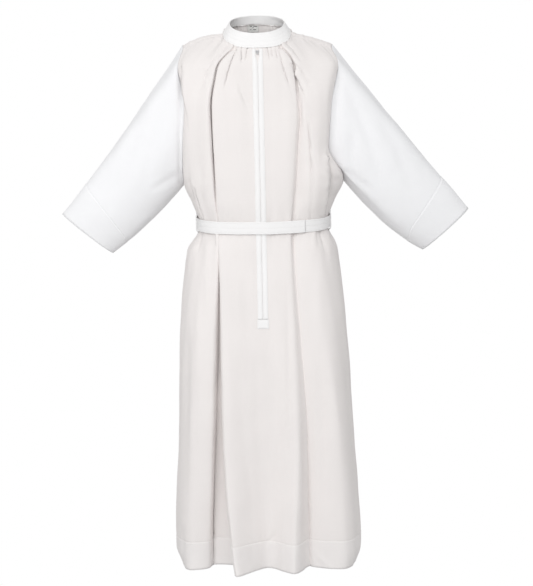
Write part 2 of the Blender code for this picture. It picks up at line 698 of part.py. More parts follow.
def belt_radii():
    """The belt's radius at each step round: the tightest smooth curve that clears the cloth."""
    inside = []
    for k in range(9):
        down = mix(0.47, 0.535, k / 8)
        inside += [p for p in plan_outline(down) if abs(-down - belt_height(p.y)) < BELT_HEIGHT / 2 + 0.002]
    hull = [inside[i] for i in convex_hull_2d(inside)]
    tight = [radius_at(hull, 360.0 * k / BELT_STEPS) for k in range(BELT_STEPS)]
    near = range(-BELT_SMOOTHING, BELT_SMOOTHING + 1)
    smooth = [sum(tight[(k + n) % BELT_STEPS] for n in near) / len(near) for k in range(BELT_STEPS)]
    lift = max(a - b for a, b in zip(tight, smooth))
    return [radius + lift + CLOTH_WALL / 2 + BELT_EASE + BELT_WALL / 2 for radius in smooth]


def round_the_belt(radii, angle):
    """The belt's radius at any angle."""
    place = (angle % 360.0) / 360.0 * BELT_STEPS
    index = int(place)
    return mix(radii[index % BELT_STEPS], radii[(index + 1) % BELT_STEPS], place - index)


def polar(angle, radius, rise=0.0):
    """A point round the waist, that far above the belt's middle."""
    turn = math.radians(angle)
    y = -radius * math.cos(turn)
    return Vector((radius * math.sin(turn), y, belt_height(y) + rise))


def belt(radii, collection):
    """The belt: one band, its end lapped over its start at the front."""
    steps = int((BELT_END - BELT_START) / 360.0 * BELT_STEPS)
    rows = []
    for rise in (BELT_HEIGHT / 2, -BELT_HEIGHT / 2):
        row = []
        for k in range(steps + 1):
            angle = mix(BELT_START, BELT_END, k / steps)
            share = (angle - BELT_LAP_RISES[0]) / (BELT_LAP_RISES[1] - BELT_LAP_RISES[0])
            share = min(max(share, 0.0), 1.0)
            lift = (BELT_WALL + 2 * SEAM_GAP) * (3 * share**2 - 2 * share**3)
            row.append(polar(angle, round_the_belt(radii, angle) + lift, rise))
        rows.append(row)
    loft("belt", rows, "trim_cloth", BELT_WALL, collection)


def carrier(name, middle_angle, radii, collection):
    """A belt carrier on a side seam, from the cloth above the belt, over it, to the cloth below."""
    half = BELT_HEIGHT / 2
    rises = (half + CARRIER_REACH, half + CARRIER_CLEAR, 0.0, -half - CARRIER_CLEAR, -half - CARRIER_REACH)
    rows = []
    for rise in rises:
        row = []
        for k in (-1, 0, 1):
            angle = middle_angle + k * CARRIER_HALF_ANGLE
            over = round_the_belt(radii, angle) + BELT_WALL / 2 + SEAM_GAP + STRIP_WALL / 2
            height = belt_height(-over * math.cos(math.radians(angle))) + rise
            cloth = radius_at(plan_outline(-height), angle) + CARRIER_EASE
            row.append(polar(angle, max(over, cloth) if abs(rise) < half + CARRIER_REACH else cloth, rise))
        rows.append(row)
    loft(name, rows, "trim_cloth", STRIP_WALL, collection)


def neck_label(back_rows, collection):
    """The label on the inside of the back, under the collar."""
    inward = -(CLOTH_WALL / 2 + STRIP_EASE + STRIP_WALL / 2)
    rows = []
    for down in LABEL_ROWS:
        row = []
        for x in LABEL_COLUMNS:
            line = -x / LABEL_COLUMNS[0]
            row.append(on_rows(back_rows, x, down) + inward * cloth_normal("back", line, down))
        rows.append(row)
    loft("neck_label", list(reversed(rows)), "label_cloth", STRIP_WALL, collection)


def main():
    clear_scene()
    collection = bpy.data.collections.new(OBJECT_NAME)
    tools = bpy.data.collections.new(OBJECT_NAME + "_tools")
    for made in (collection, tools):
        bpy.context.scene.collection.children.link(made)
    front_rows = front_panel(collection)
    back_rows = back_panel(collection)
    for side in ("left", "right"):
        sleeve(side, front_rows, back_rows, collection)
    collar(collection)
    zip_strips(front_rows, collection)
    zip_pull(collection, tools)
    radii = belt_radii()
    belt(radii, collection)
    carrier("belt_loop_left", -CARRIER_ANGLE, radii, collection)
    carrier("belt_loop_right", CARRIER_ANGLE, radii, collection)
    neck_label(back_rows, collection)


main()
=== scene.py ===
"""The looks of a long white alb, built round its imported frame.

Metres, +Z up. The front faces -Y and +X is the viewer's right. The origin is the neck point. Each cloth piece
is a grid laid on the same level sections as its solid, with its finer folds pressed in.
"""

import math
from collections import namedtuple
from functools import partial

import bmesh
import bpy
import numpy as np
from mathutils import Matrix, Vector, noise
from mathutils.geometry import convex_hull_2d


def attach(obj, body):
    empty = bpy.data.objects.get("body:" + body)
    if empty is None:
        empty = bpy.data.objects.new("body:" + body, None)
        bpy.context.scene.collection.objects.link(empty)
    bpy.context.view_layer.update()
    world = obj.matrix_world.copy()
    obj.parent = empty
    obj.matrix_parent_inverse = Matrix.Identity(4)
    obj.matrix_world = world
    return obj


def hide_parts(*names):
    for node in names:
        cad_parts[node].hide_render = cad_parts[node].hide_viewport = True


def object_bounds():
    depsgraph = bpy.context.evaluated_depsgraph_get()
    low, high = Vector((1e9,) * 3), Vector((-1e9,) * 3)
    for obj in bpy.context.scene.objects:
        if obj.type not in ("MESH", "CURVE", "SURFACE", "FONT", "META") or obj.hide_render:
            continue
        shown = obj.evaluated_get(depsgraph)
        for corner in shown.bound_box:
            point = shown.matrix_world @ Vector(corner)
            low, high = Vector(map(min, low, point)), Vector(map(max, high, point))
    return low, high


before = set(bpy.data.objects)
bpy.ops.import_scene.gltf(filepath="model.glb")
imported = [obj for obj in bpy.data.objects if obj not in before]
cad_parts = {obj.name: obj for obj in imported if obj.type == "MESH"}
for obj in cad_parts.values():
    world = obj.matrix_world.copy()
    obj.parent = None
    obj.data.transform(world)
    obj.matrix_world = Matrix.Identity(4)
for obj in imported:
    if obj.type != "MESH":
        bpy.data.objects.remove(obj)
CAD_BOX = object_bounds()

bl_info = {
    "name": "Alb Robe",
    "version": (1, 0, 0),
    "blender": (4, 5, 0),
    "location": "View3D > Sidebar > Alb",
    "description": "Builds the cloth, zip, belt and stitching of a long white alb on its packed frame",
    "category": "Object",
}

# Collar: a tilted oval band, lower in front
COLLAR_TILT = 0.44
COLLAR_FOOT = {
    "half_width": 0.0895, "front": 0.083, "back": 0.078, "square": 3.0,
    "height": -0.006, "rise": 0.012, "back_up": 0.0105,
}
COLLAR_TOP = {
    "half_width": 0.0725, "front": 0.075, "back": 0.074, "square": 2.3,
    "height": 0.0287, "rise": 0.004, "back_up": 0.0,
}
COLLAR_HEIGHT = 0.0345
COLLAR_WALL = 0.0022
COLLAR_STEPS = 240
COLLAR_RADIUS = 0.083
NECK_DROP = 0.0012

# Shoulder: its ridge falls from the neck to the armhole, and the seam lies in front of and under the ridge
SHOULDER_X = 0.198
RIDGE_AT_NECK = 0.0163
RIDGE = {"left": {"slope": 0.386, "bow": 0.0035}, "right": {"slope": 0.426, "bow": -0.0015}}
SEAM_DROP = {"at_neck": 0.0211, "at_arm": 0.0090, "curve": 2.5}
SEAM_FORWARD_AT_ARM = 0.0070
YOKE = 0.10
YOKE_LEAVES_FRONT = (0.0, -0.034, -0.040)
YOKE_LEAVES_BACK = (0.0, 0.045, -0.030)
YOKE_LEAVES_SHOULDER = (0.0, 0.150, 0.130)

# Armhole and hem
ARMHOLE_MIDDLE = 0.210
ARMHOLE_HALF_HEIGHT = 0.175
ARMHOLE_HALF_DEPTH = 0.074
HEM = 1.395
HEM_DIP = 0.028
HEM_DIP_FROM = 0.60
HEM_SHADE = 0.2
WAIST = 0.505

# A half section of the body at each height: how far down it is, and for each fold line its distance to
# the side (x) and out from the middle (out). edge is the rim of the middle panel, root and deep the bottom
# of the pleat, lip where the outer panel comes out of the pleat, and crest the outer panel's ridge.
Half = namedtuple(
    "Half",
    "down side edge_x edge_out root_x root_out deep_x deep_out lip_x lip_out crest_x crest_out",
)
FRONT_LEFT = (
    Half(0.100, 0.2085, 0.1035, 0.103, 0.1060, 0.097, 0.1090, 0.091, 0.1150, 0.102, 0.145, 0.090),
    Half(0.200, 0.1955, 0.1185, 0.112, 0.1195, 0.099, 0.1235, 0.088, 0.1305, 0.116, 0.158, 0.104),
    Half(0.300, 0.2015, 0.1170, 0.115, 0.1180, 0.102, 0.1215, 0.091, 0.1275, 0.119, 0.160, 0.106),
    Half(0.385, 0.2030, 0.1150, 0.117, 0.1165, 0.108, 0.1190, 0.101, 0.1225, 0.117, 0.160, 0.100),
    Half(0.440, 0.1840, 0.1130, 0.114, 0.1150, 0.108, 0.1170, 0.104, 0.1200, 0.111, 0.148, 0.092),
    Half(0.505, 0.1640, 0.1080, 0.103, 0.1100, 0.099, 0.1120, 0.097, 0.1150, 0.099, 0.138, 0.080),
    Half(0.570, 0.2000, 0.1080, 0.127, 0.1100, 0.118, 0.1120, 0.112, 0.1150, 0.120, 0.155, 0.095),
    Half(0.800, 0.2240, 0.1060, 0.162, 0.1090, 0.128, 0.1190, 0.114, 0.1290, 0.152, 0.175, 0.145),
    Half(1.050, 0.2350, 0.1060, 0.196, 0.1060, 0.142, 0.1340, 0.120, 0.1390, 0.168, 0.188, 0.164),
    Half(1.350, 0.2485, 0.0880, 0.240, 0.0870, 0.152, 0.1480, 0.138, 0.1550, 0.171, 0.204, 0.173),
    Half(1.395, 0.2310, 0.0810, 0.250, 0.0800, 0.152, 0.1490, 0.142, 0.1580, 0.171, 0.203, 0.176),
)
FRONT_RIGHT = (
    Half(0.100, 0.2095, 0.0935, 0.104, 0.0965, 0.098, 0.0995, 0.094, 0.1050, 0.101, 0.130, 0.097),
    Half(0.200, 0.1900, 0.0980, 0.114, 0.1010, 0.107, 0.1045, 0.101, 0.1085, 0.104, 0.1185, 0.118),
    Half(0.300, 0.1835, 0.0915, 0.119, 0.0940, 0.111, 0.0970, 0.103, 0.1010, 0.106, 0.1285, 0.125),
    Half(0.385, 0.2240, 0.0865, 0.121, 0.0890, 0.112, 0.0920, 0.104, 0.0965, 0.107, 0.1315, 0.126),
    Half(0.440, 0.1970, 0.0825, 0.119, 0.0850, 0.111, 0.0880, 0.105, 0.0930, 0.107, 0.1320, 0.117),
    Half(0.505, 0.1780, 0.0765, 0.114, 0.0790, 0.109, 0.0820, 0.104, 0.0870, 0.104, 0.1320, 0.093),
    Half(0.570, 0.2040, 0.0765, 0.127, 0.0790, 0.118, 0.0830, 0.111, 0.0880, 0.118, 0.1400, 0.117),
    Half(0.800, 0.2275, 0.0810, 0.158, 0.0860, 0.140, 0.0910, 0.124, 0.0995, 0.141, 0.1625, 0.152),
    Half(1.050, 0.2390, 0.0850, 0.192, 0.0940, 0.162, 0.1030, 0.136, 0.1145, 0.158, 0.1930, 0.172),
    Half(1.350, 0.2545, 0.0700, 0.232, 0.0930, 0.176, 0.1085, 0.148, 0.1160, 0.175, 0.2040, 0.190),
    Half(1.395, 0.2400, 0.0680, 0.237, 0.0930, 0.178, 0.1080, 0.152, 0.1170, 0.176, 0.1980, 0.194),
)
BACK = (
    Half(0.100, 0.0, 0.034, 0.098, 0.040, 0.095, 0.046, 0.093, 0.053, 0.097, 0.125, 0.092),
    Half(0.200, 0.0, 0.046, 0.119, 0.051, 0.112, 0.057, 0.107, 0.065, 0.115, 0.138, 0.106),
    Half(0.300, 0.0, 0.052, 0.124, 0.057, 0.114, 0.064, 0.108, 0.073, 0.119, 0.142, 0.105),
    Half(0.385, 0.0, 0.055, 0.121, 0.060, 0.112, 0.066, 0.107, 0.075, 0.116, 0.146, 0.099),
    Half(0.440, 0.0, 0.057, 0.112, 0.062, 0.106, 0.067, 0.102, 0.075, 0.108, 0.142, 0.090),
    Half(0.505, 0.0, 0.058, 0.100, 0.062, 0.097, 0.066, 0.095, 0.073, 0.096, 0.136, 0.076),
    Half(0.570, 0.0, 0.059, 0.113, 0.063, 0.107, 0.068, 0.102, 0.076, 0.109, 0.148, 0.094),
    Half(0.800, 0.0, 0.064, 0.151, 0.069, 0.134, 0.077, 0.122, 0.088, 0.143, 0.168, 0.138),
    Half(1.050, 0.0, 0.068, 0.177, 0.074, 0.152, 0.085, 0.134, 0.099, 0.160, 0.180, 0.158),
    Half(1.350, 0.0, 0.072, 0.203, 0.079, 0.166, 0.094, 0.146, 0.113, 0.176, 0.196, 0.176),
    Half(1.395, 0.0, 0.072, 0.206, 0.079, 0.168, 0.094, 0.149, 0.113, 0.178, 0.192, 0.178),
)
FRONT_MIDDLE = (0.110, 0.118, 0.124, 0.128, 0.128, 0.1255, 0.132, 0.158, 0.173, 0.184, 0.184)
BACK_MIDDLE = (0.099, 0.118, 0.121, 0.117, 0.109, 0.099, 0.110, 0.144, 0.160, 0.176, 0.177)
FLANK_SHARE = 0.80
FLANK_OUT = 0.58

# Where each fold line meets the collar, in degrees round its oval, and then along the shoulder seam
SHOULDER_ANGLE = 84.0
NECK_ANGLES = {
    "front_left": (0.0, 29.4, 32.1, 35.4, 39.3, SHOULDER_ANGLE),
    "front_right": (0.0, 32.6, 35.4, 38.2, 42.1, SHOULDER_ANGLE),
    "back": (0.0, 20.0, 25.0, 30.0, 37.0, 180.0 - SHOULDER_ANGLE),
}
SHOULDER_SHARES = (0.0, 0.55, 1.0)
STATIONS = 7

# Grid steps between the fold lines, from the middle outwards
FRONT_STEPS = (40, 5, 4, 6, 15, 12, 11)
BACK_STEPS = (24, 4, 4, 6, 20, 12, 11)

# How deep the crease of each main pleat is under the collar, at distances down from it
PLEAT_CREASES = {
    "front_left": ((0.0, 0.0020), (0.010, 0.0090), (0.040, 0.0070), (0.090, 0.0050), (0.150, 0.0)),
    "front_right": (
        (0.0, 0.0030), (0.008, 0.0090), (0.035, 0.0060), (0.080, 0.0065), (0.130, 0.0050), (0.190, 0.0),
    ),
    "back": ((0.0, 0.0020), (0.012, 0.0050), (0.060, 0.0040), (0.150, 0.0)),
}

# How much shallower each main pleat lies than its solid, at distances down
PLEAT_FILLS = {
    "front_left": (
        (0.0, 0.0), (0.480, 0.0), (0.530, 0.0090), (0.560, 0.0080),
        (0.640, 0.0020), (0.800, 0.0030), (1.000, 0.0090), (HEM, 0.0090),
    ),
    "front_right": (
        (0.0, 0.0), (0.160, 0.0), (0.230, 0.0045), (0.370, 0.0045),
        (0.450, 0.0), (0.520, 0.0), (0.640, 0.0080), (0.850, 0.0150), (HEM, 0.0150),
    ),
}

# Where a pleat's parts lie across it, and how wide they are, counted in fold lines from the middle
CREASE = (2.4, 0.8)
CREASE_RIDGE = (4.1, 0.5)
CREASE_SLIDE = (3.9, 0.55)
FILL = (2.6, 0.95)

# Bumps of the uneven cloth: how wide and how long one is
GATHER_FINE = (0.0048, 0.09)
GATHER_WIDE = (0.0130, 0.20)
WAIST_CREASE = (0.0170, 0.25)
HEM_PUCKER = (0.011, 0.05)

# Sleeves
UNDERARM = 0.385
CUFFS = {
    "left": {"top": (-0.5332, -0.4646), "bottom": (-0.4019, -0.5713)},
    "right": {"top": (0.5597, -0.4713), "bottom": (0.4358, -0.5795)},
}
CUFF_HALF_DEPTH = 0.046
SLEEVE_FULLNESS = 0.20
SLEEVE_SAG = {"left": {"top": 0.008, "bottom": 0.012}, "right": {"top": 0.002, "bottom": 0.020}}
SLEEVE_HEM_FROM = 0.795

# Zip
LIP_WIDTH = 0.0135
LIP_TOP = 0.009
ZIP_END = 0.745
LIP_WALL = 0.0009
LIP_SEAMS = (0.16, 0.84)
PATCH_HALF = 0.0150
PATCH_HEIGHT = 0.024
PATCH_SEAM_IN = 0.0025
TAPE_HALF = 0.0120
TAPE_WALL = 0.0008
TAPE_BEHIND = 0.0019
TOOTH = {"count": 54, "first": 0.016, "pitch": 0.0017, "size": (0.0022, 0.0012, 0.0009), "behind": 0.0008}
LIP_INNER = 0.0004
LIP_PARTED = 0.0048
LIP_PARTED_FROM = 0.086
LIP_PARTING = 0.028
SLIDER_DOWN = 0.026

# Belt and its carriers
BELT_HEIGHT = 0.031
BELT_WALL = 0.0020
BELT_AT_SIDE = -0.4945
BELT_TILT = 0.115
BELT_STEPS = 180
BELT_START = 14.0
BELT_END = 406.0
BELT_LAP_RISES = (352.0, 370.0)
BELT_CLEAR = 0.0006
OUTLINE_DOWNS = (0.40, 0.62)
CARRIER_ANGLE = 84.0
CARRIER_HALF_ANGLE = 2.6
CARRIER_HALF = BELT_HEIGHT / 2 + 0.012
CARRIER_WALL = 0.0010

# Neck label: where it lies, and its woven bars, each with its distance down and its ends
LABEL_ACROSS = (-0.0255, 0.0045)
LABEL_DOWN = (0.004, 0.0235)
LABEL_WALL = 0.0005
LABEL_BEHIND = 0.0013
LABEL_BARS = (
    (0.0085, -0.022, -0.013),
    (0.0085, -0.011, 0.001),
    (0.0130, -0.018, -0.003),
    (0.0175, -0.021, -0.015),
    (0.0175, -0.013, -0.001),
)
LABEL_BAR_SIZE = (0.0004, 0.0016)

# A fold pressed into a panel: the line it follows seen from in front or behind (three points, x and z),
# how deep and how wide it is, which way it laps (1 its left side over its right, -1 the other way, 0 a plain
# trough, and a negative depth makes a ridge), and how strong it is at its start and its end
Fold = namedtuple("Fold", "x0 z0 x1 z1 x2 z2 depth width lap start end")
FRONT_FOLDS = (
    Fold(-0.0560, -0.0400, -0.0800, -0.1000, -0.0894, -0.1600, 0.0060, 0.0060, 1, 1.0, 0.0),
    Fold(-0.0465, -0.0390, -0.0450, -0.0640, -0.0433, -0.0900, 0.0055, 0.0048, 1, 1.0, 0.0),
    Fold(-0.0800, -0.0320, -0.0980, -0.0560, -0.1100, -0.0850, 0.0034, 0.0060, 1, 1.0, 0.0),
    Fold(-0.0590, -0.1180, -0.0430, -0.1740, -0.0200, -0.2180, 0.0024, 0.0060, 1, 0.2, 0.0),
    Fold(-0.1080, -0.0560, -0.1390, -0.1080, -0.1510, -0.1720, 0.0030, 0.0100, 1, 0.5, 0.0),
    Fold(-0.0950, -0.0700, -0.1090, -0.1000, -0.1150, -0.1350, 0.0016, 0.0050, 0, 0.3, 0.0),
    Fold(-0.1827, -0.3700, -0.1715, -0.4300, -0.1560, -0.4830, 0.0060, 0.0080, -1, 0.1, 1.0),
    Fold(-0.1500, -0.3000, -0.1530, -0.3700, -0.1480, -0.4400, 0.0026, 0.0130, 0, 0.1, 0.2),
    Fold(0.0600, -0.0400, 0.0706, -0.0988, 0.0900, -0.1700, 0.0058, 0.0060, -1, 1.0, 0.1),
    Fold(0.0900, -0.0880, 0.1120, -0.1370, 0.1230, -0.1880, 0.0060, 0.0065, -1, 0.5, 0.1),
    Fold(0.0820, -0.0300, 0.1020, -0.0560, 0.1180, -0.0900, 0.0034, 0.0060, -1, 1.0, 0.0),
    Fold(0.1230, -0.1850, 0.1400, -0.2180, 0.1500, -0.2600, 0.0034, 0.0110, -1, 0.4, 0.0),
    Fold(0.0950, -0.0780, 0.1280, -0.1260, 0.1500, -0.1830, 0.0030, 0.0090, -1, 0.4, 0.0),
    Fold(0.1250, -0.2150, 0.1370, -0.3200, 0.1350, -0.4850, 0.0060, 0.0110, -1, 0.2, 0.4),
    Fold(0.1600, -0.3000, 0.1640, -0.3800, 0.1600, -0.4600, 0.0030, 0.0110, 0, 0.2, 0.2),
    Fold(0.1740, -0.3380, 0.1720, -0.4000, 0.1700, -0.4700, 0.0170, 0.0160, 1, 0.6, 0.4),
    Fold(-0.1950, -0.0900, -0.1890, -0.1450, -0.1830, -0.2400, 0.0130, 0.0095, -1, 0.4, 0.1),
    Fold(-0.1720, -0.3900, -0.1580, -0.4400, -0.1450, -0.4860, 0.0080, 0.0090, -1, 0.0, 0.8),
    Fold(0.0406, -0.0390, 0.0409, -0.0560, 0.0412, -0.0720, 0.0050, 0.0044, -1, 1.0, 0.0),
    Fold(0.0500, -0.0390, 0.0520, -0.0600, 0.0560, -0.0850, 0.0034, 0.0046, -1, 1.0, 0.0),
    Fold(0.0290, -0.0390, 0.0320, -0.0640, 0.0340, -0.0900, 0.0034, 0.0050, -1, 1.0, 0.0),
    Fold(-0.0290, -0.0390, -0.0320, -0.0640, -0.0330, -0.0880, 0.0034, 0.0050, 1, 1.0, 0.0),
    Fold(0.0190, -1.2968, 0.0119, -1.3130, -0.0018, -1.3280, 0.0026, 0.0060, 0, 0.2, 0.3),
    Fold(-0.1534, -1.3000, -0.1400, -1.3180, -0.1275, -1.3300, 0.0024, 0.0060, 0, 0.3, 0.3),
    Fold(0.1181, -1.3500, 0.1450, -1.3800, 0.1787, -1.4100, -0.0022, 0.0070, 0, 0.3, 0.5),
    Fold(-0.2229, -1.3000, -0.2240, -1.3400, -0.2247, -1.3850, 0.0030, 0.0080, 0, 0.3, 0.6),
    Fold(0.2338, -1.3000, 0.2335, -1.3400, 0.2331, -1.3850, 0.0030, 0.0080, 0, 0.3, 0.6),
    Fold(0.1590, -0.5200, 0.1640, -0.5500, 0.1760, -0.6000, 0.0050, 0.0070, -1, 1.0, 0.0),
    Fold(0.1480, -0.5230, 0.1500, -0.5500, 0.1580, -0.5900, 0.0030, 0.0060, 0, 1.0, 0.0),
    Fold(-0.1600, -0.5180, -0.1650, -0.5450, -0.1760, -0.5900, 0.0050, 0.0070, 1, 1.0, 0.0),
    Fold(0.0640, -0.6000, 0.0640, -0.9000, 0.0540, -1.2800, 0.0040, 0.0100, 0, 0.1, 0.1),
    Fold(-0.0620, -0.7800, -0.0600, -1.0000, -0.0480, -1.2800, 0.0030, 0.0160, 0, 0.1, 0.1),
    Fold(-0.1425, -0.5500, -0.1440, -0.6600, -0.1500, -0.8200, -0.0030, 0.0110, 0, 0.4, 0.0),
    Fold(-0.2000, -0.7200, -0.2050, -0.9500, -0.2150, -1.2600, 0.0040, 0.0130, 0, 0.0, 0.2),
    Fold(-0.1800, -0.6400, -0.1830, -0.9000, -0.1880, -1.2000, 0.0028, 0.0120, 0, 0.0, 0.0),
    Fold(0.1400, -0.7600, 0.1450, -1.0000, 0.1500, -1.2800, 0.0034, 0.0150, 0, 0.0, 0.2),
    Fold(0.2150, -0.8000, 0.2230, -1.0500, 0.2300, -1.2800, 0.0032, 0.0110, 0, 0.0, 0.2),
)
BACK_FOLDS = (
    Fold(-0.0500, -0.0100, -0.0620, -0.0900, -0.0700, -0.1900, 0.0036, 0.0080, 1, 1.0, 0.0),
    Fold(0.0520, -0.0100, 0.0650, -0.0800, 0.0720, -0.1700, 0.0036, 0.0080, -1, 1.0, 0.0),
    Fold(-0.0850, -0.0200, -0.1150, -0.1000, -0.1300, -0.2200, 0.0034, 0.0110, 0, 0.7, 0.0),
    Fold(0.0900, -0.0200, 0.1180, -0.1100, 0.1350, -0.2400, 0.0034, 0.0110, 0, 0.7, 0.0),
    Fold(-0.0200, -0.0050, -0.0210, -0.0600, -0.0230, -0.1300, 0.0024, 0.0060, 0, 1.0, 0.0),
    Fold(0.0180, -0.0050, 0.0190, -0.0500, 0.0200, -0.1100, 0.0024, 0.0060, 0, 1.0, 0.0),
    Fold(-0.1500, -0.3500, -0.1480, -0.4200, -0.1380, -0.4850, 0.0040, 0.0090, -1, 0.1, 1.0),
    Fold(0.1520, -0.3600, 0.1500, -0.4200, 0.1400, -0.4850, 0.0040, 0.0090, 1, 0.1, 1.0),
    Fold(-0.1050, -0.3900, -0.1040, -0.4300, -0.1020, -0.4850, 0.0030, 0.0080, 0, 0.1, 1.0),
    Fold(0.1080, -0.3800, 0.1060, -0.4300, 0.1040, -0.4850, 0.0030, 0.0080, 0, 0.1, 1.0),
    Fold(-0.1400, -0.5150, -0.1460, -0.5600, -0.1560, -0.6400, 0.0036, 0.0090, 1, 1.0, 0.0),
    Fold(0.1420, -0.5150, 0.1480, -0.5600, 0.1580, -0.6300, 0.0036, 0.0090, -1, 1.0, 0.0),
    Fold(-0.0280, -0.5200, -0.0290, -0.6000, -0.0300, -0.7200, 0.0026, 0.0100, 0, 1.0, 0.0),
    Fold(0.0250, -0.5200, 0.0260, -0.6200, 0.0280, -0.7600, 0.0026, 0.0100, 0, 1.0, 0.0),
    Fold(-0.1500, -0.7500, -0.1560, -1.0000, -0.1600, -1.2800, 0.0036, 0.0150, 0, 0.0, 0.2),
    Fold(0.1480, -0.7000, 0.1550, -0.9800, 0.1620, -1.2800, 0.0036, 0.0150, 0, 0.0, 0.2),
    Fold(-0.2080, -0.8000, -0.2160, -1.0500, -0.2240, -1.3000, 0.0030, 0.0130, 0, 0.0, 0.2),
    Fold(0.2100, -0.7800, 0.2180, -1.0300, 0.2260, -1.3000, 0.0030, 0.0130, 0, 0.0, 0.2),
    Fold(0.0100, -0.8600, 0.0110, -1.0800, 0.0130, -1.3000, 0.0030, 0.0180, 0, 0.0, 0.3),
)
SLEEVE_LEFT_FRONT_FOLDS = (
    Fold(-0.2060, -0.0800, -0.2020, -0.1500, -0.2060, -0.2600, 0.0090, 0.0110, 0, 0.5, 0.3),
    Fold(-0.2060, -0.2200, -0.2080, -0.3000, -0.2120, -0.3850, 0.0050, 0.0090, 0, 0.4, 0.8),
    Fold(-0.2525, -0.1229, -0.2836, -0.3016, -0.3135, -0.4302, 0.0035, 0.0200, 0, 0.1, 0.0),
    Fold(-0.2900, -0.1600, -0.3500, -0.3200, -0.4100, -0.4200, 0.0040, 0.0220, 0, 0.0, 0.0),
    Fold(-0.2250, -0.3700, -0.2600, -0.3900, -0.3100, -0.4200, 0.0034, 0.0120, 0, 1.0, 0.0),
    Fold(-0.3700, -0.3500, -0.3900, -0.4200, -0.4100, -0.5000, 0.0026, 0.0160, 0, 0.0, 0.0),
)
SLEEVE_RIGHT_FRONT_FOLDS = (
    Fold(0.2120, -0.1000, 0.2060, -0.1800, 0.2020, -0.2800, 0.0070, 0.0130, 0, 0.3, 0.3),
    Fold(0.2170, -0.1198, 0.2900, -0.2900, 0.3495, -0.5000, 0.0050, 0.0200, 0, 0.3, 0.0),
    Fold(0.2460, -0.2400, 0.2440, -0.3200, 0.2500, -0.4159, 0.0046, 0.0180, 0, 0.1, 0.3),
    Fold(0.3100, -0.2000, 0.3700, -0.3300, 0.4200, -0.4600, 0.0036, 0.0220, 0, 0.0, 0.0),
    Fold(0.2300, -0.3700, 0.2700, -0.4000, 0.3200, -0.4400, 0.0034, 0.0120, 0, 1.0, 0.0),
)
SLEEVE_LEFT_BACK_FOLDS = (
    Fold(-0.2080, -0.0900, -0.2060, -0.1800, -0.2090, -0.3000, 0.0060, 0.0120, 0, 0.4, 0.4),
    Fold(-0.2400, -0.1400, -0.3000, -0.3000, -0.3500, -0.4600, 0.0046, 0.0200, 0, 0.2, 0.0),
    Fold(-0.2300, -0.3600, -0.2800, -0.3900, -0.3300, -0.4400, 0.0036, 0.0130, 0, 1.0, 0.0),
    Fold(-0.3300, -0.2300, -0.3900, -0.3400, -0.4300, -0.4500, 0.0034, 0.0200, 0, 0.0, 0.0),
)
SLEEVE_RIGHT_BACK_FOLDS = (
    Fold(0.2100, -0.0900, 0.2070, -0.1800, 0.2090, -0.3000, 0.0060, 0.0120, 0, 0.4, 0.4),
    Fold(0.2500, -0.1500, 0.3050, -0.3000, 0.3600, -0.4700, 0.0046, 0.0200, 0, 0.2, 0.0),
    Fold(0.2400, -0.3700, 0.2900, -0.4000, 0.3500, -0.4500, 0.0036, 0.0130, 0, 1.0, 0.0),
    Fold(0.3500, -0.2500, 0.4000, -0.3500, 0.4500, -0.4700, 0.0034, 0.0200, 0, 0.0, 0.0),
)

# Camera
CAMERA_PLACE = (0.0, -3.2, -0.40)
CAMERA_PITCH = 5.1805
CAMERA_YAW = 0.1952
CAMERA_ROLL = 1.2
CAMERA_LENS = 72.7

# Topstitch rows, as shares of a band's height from its foot
COLLAR_ROWS = (0.12, 0.37, 0.62, 0.88)
BELT_ROWS = (0.12, 0.50, 0.88)
STITCH_RADIUS = 0.00024
STITCH_LIFT = 0.0005

# Studio: the soft lights with their places, sizes and powers, and the world's light on the cloth
LIGHTS = (
    ("key", (-1.0, -2.5, 0.25), 1.7, 25.0),
    ("fill", (0.7, -2.9, 0.7), 1.6, 13.0),
)
LIGHTS_AIM = (0.0, 0.0, -0.35)
WORLD_LIGHT = 0.72
FLOOR_BELOW = 0.35
FLOOR_HALF = 30.0


class AlbSizes(bpy.types.PropertyGroup):
    """The sizes that a user would change."""

    cloth: bpy.props.FloatProperty(
        name="Cloth", description="Thickness of the cloth", default=0.0010, unit="LENGTH", precision=4
    )
    hem_band: bpy.props.FloatProperty(
        name="Hem band", description="Height of the turned hem", default=0.072, unit="LENGTH", precision=4
    )
    folds: bpy.props.FloatProperty(
        name="Folds", description="Strength of the pressed folds", default=1.0, subtype="FACTOR"
    )
    gathers: bpy.props.FloatProperty(
        name="Gathers", description="Depth of the neck's gathers", default=0.0028, unit="LENGTH", precision=4
    )
    stitch: bpy.props.FloatProperty(
        name="Stitch", description="Length of one stitch", default=0.0030, unit="LENGTH", precision=4
    )
    thread: bpy.props.FloatProperty(
        name="Thread", description="Spacing of the threads", default=0.00055, unit="LENGTH", precision=5
    )


class AlbColours(bpy.types.PropertyGroup):
    """The colours that a user would change."""

    # Painted shade: the body's colour is darker and warmer than the sleeves' though both are one cloth,
    # standing in for the body getting less light
    body: bpy.props.FloatVectorProperty(
        name="Body", description="Cloth of the front and back", default=(0.862, 0.826, 0.812), subtype="COLOR"
    )
    # Painted light: the sleeves' colour is lighter and bluer than the body's, standing in for the sleeves
    # being lit more brightly
    sleeve: bpy.props.FloatVectorProperty(
        name="Sleeves", description="Cloth of the sleeves", default=(0.912, 0.914, 0.928), subtype="COLOR"
    )
    trim: bpy.props.FloatVectorProperty(
        name="Trim", description="Collar, belt and lips", default=(0.920, 0.914, 0.914), subtype="COLOR"
    )
    thread: bpy.props.FloatVectorProperty(
        name="Thread", description="Sewing thread", default=(0.840, 0.830, 0.825), subtype="COLOR"
    )
    zip: bpy.props.FloatVectorProperty(
        name="Zip metal", description="Slider and pull tab", default=(0.72, 0.72, 0.73), subtype="COLOR"
    )
    label: bpy.props.FloatVectorProperty(
        name="Label", description="Woven label", default=(0.82, 0.82, 0.80), subtype="COLOR"
    )
    marks: bpy.props.FloatVectorProperty(
        name="Label marks", description="Bars in the label", default=(0.08, 0.08, 0.09), subtype="COLOR"
    )


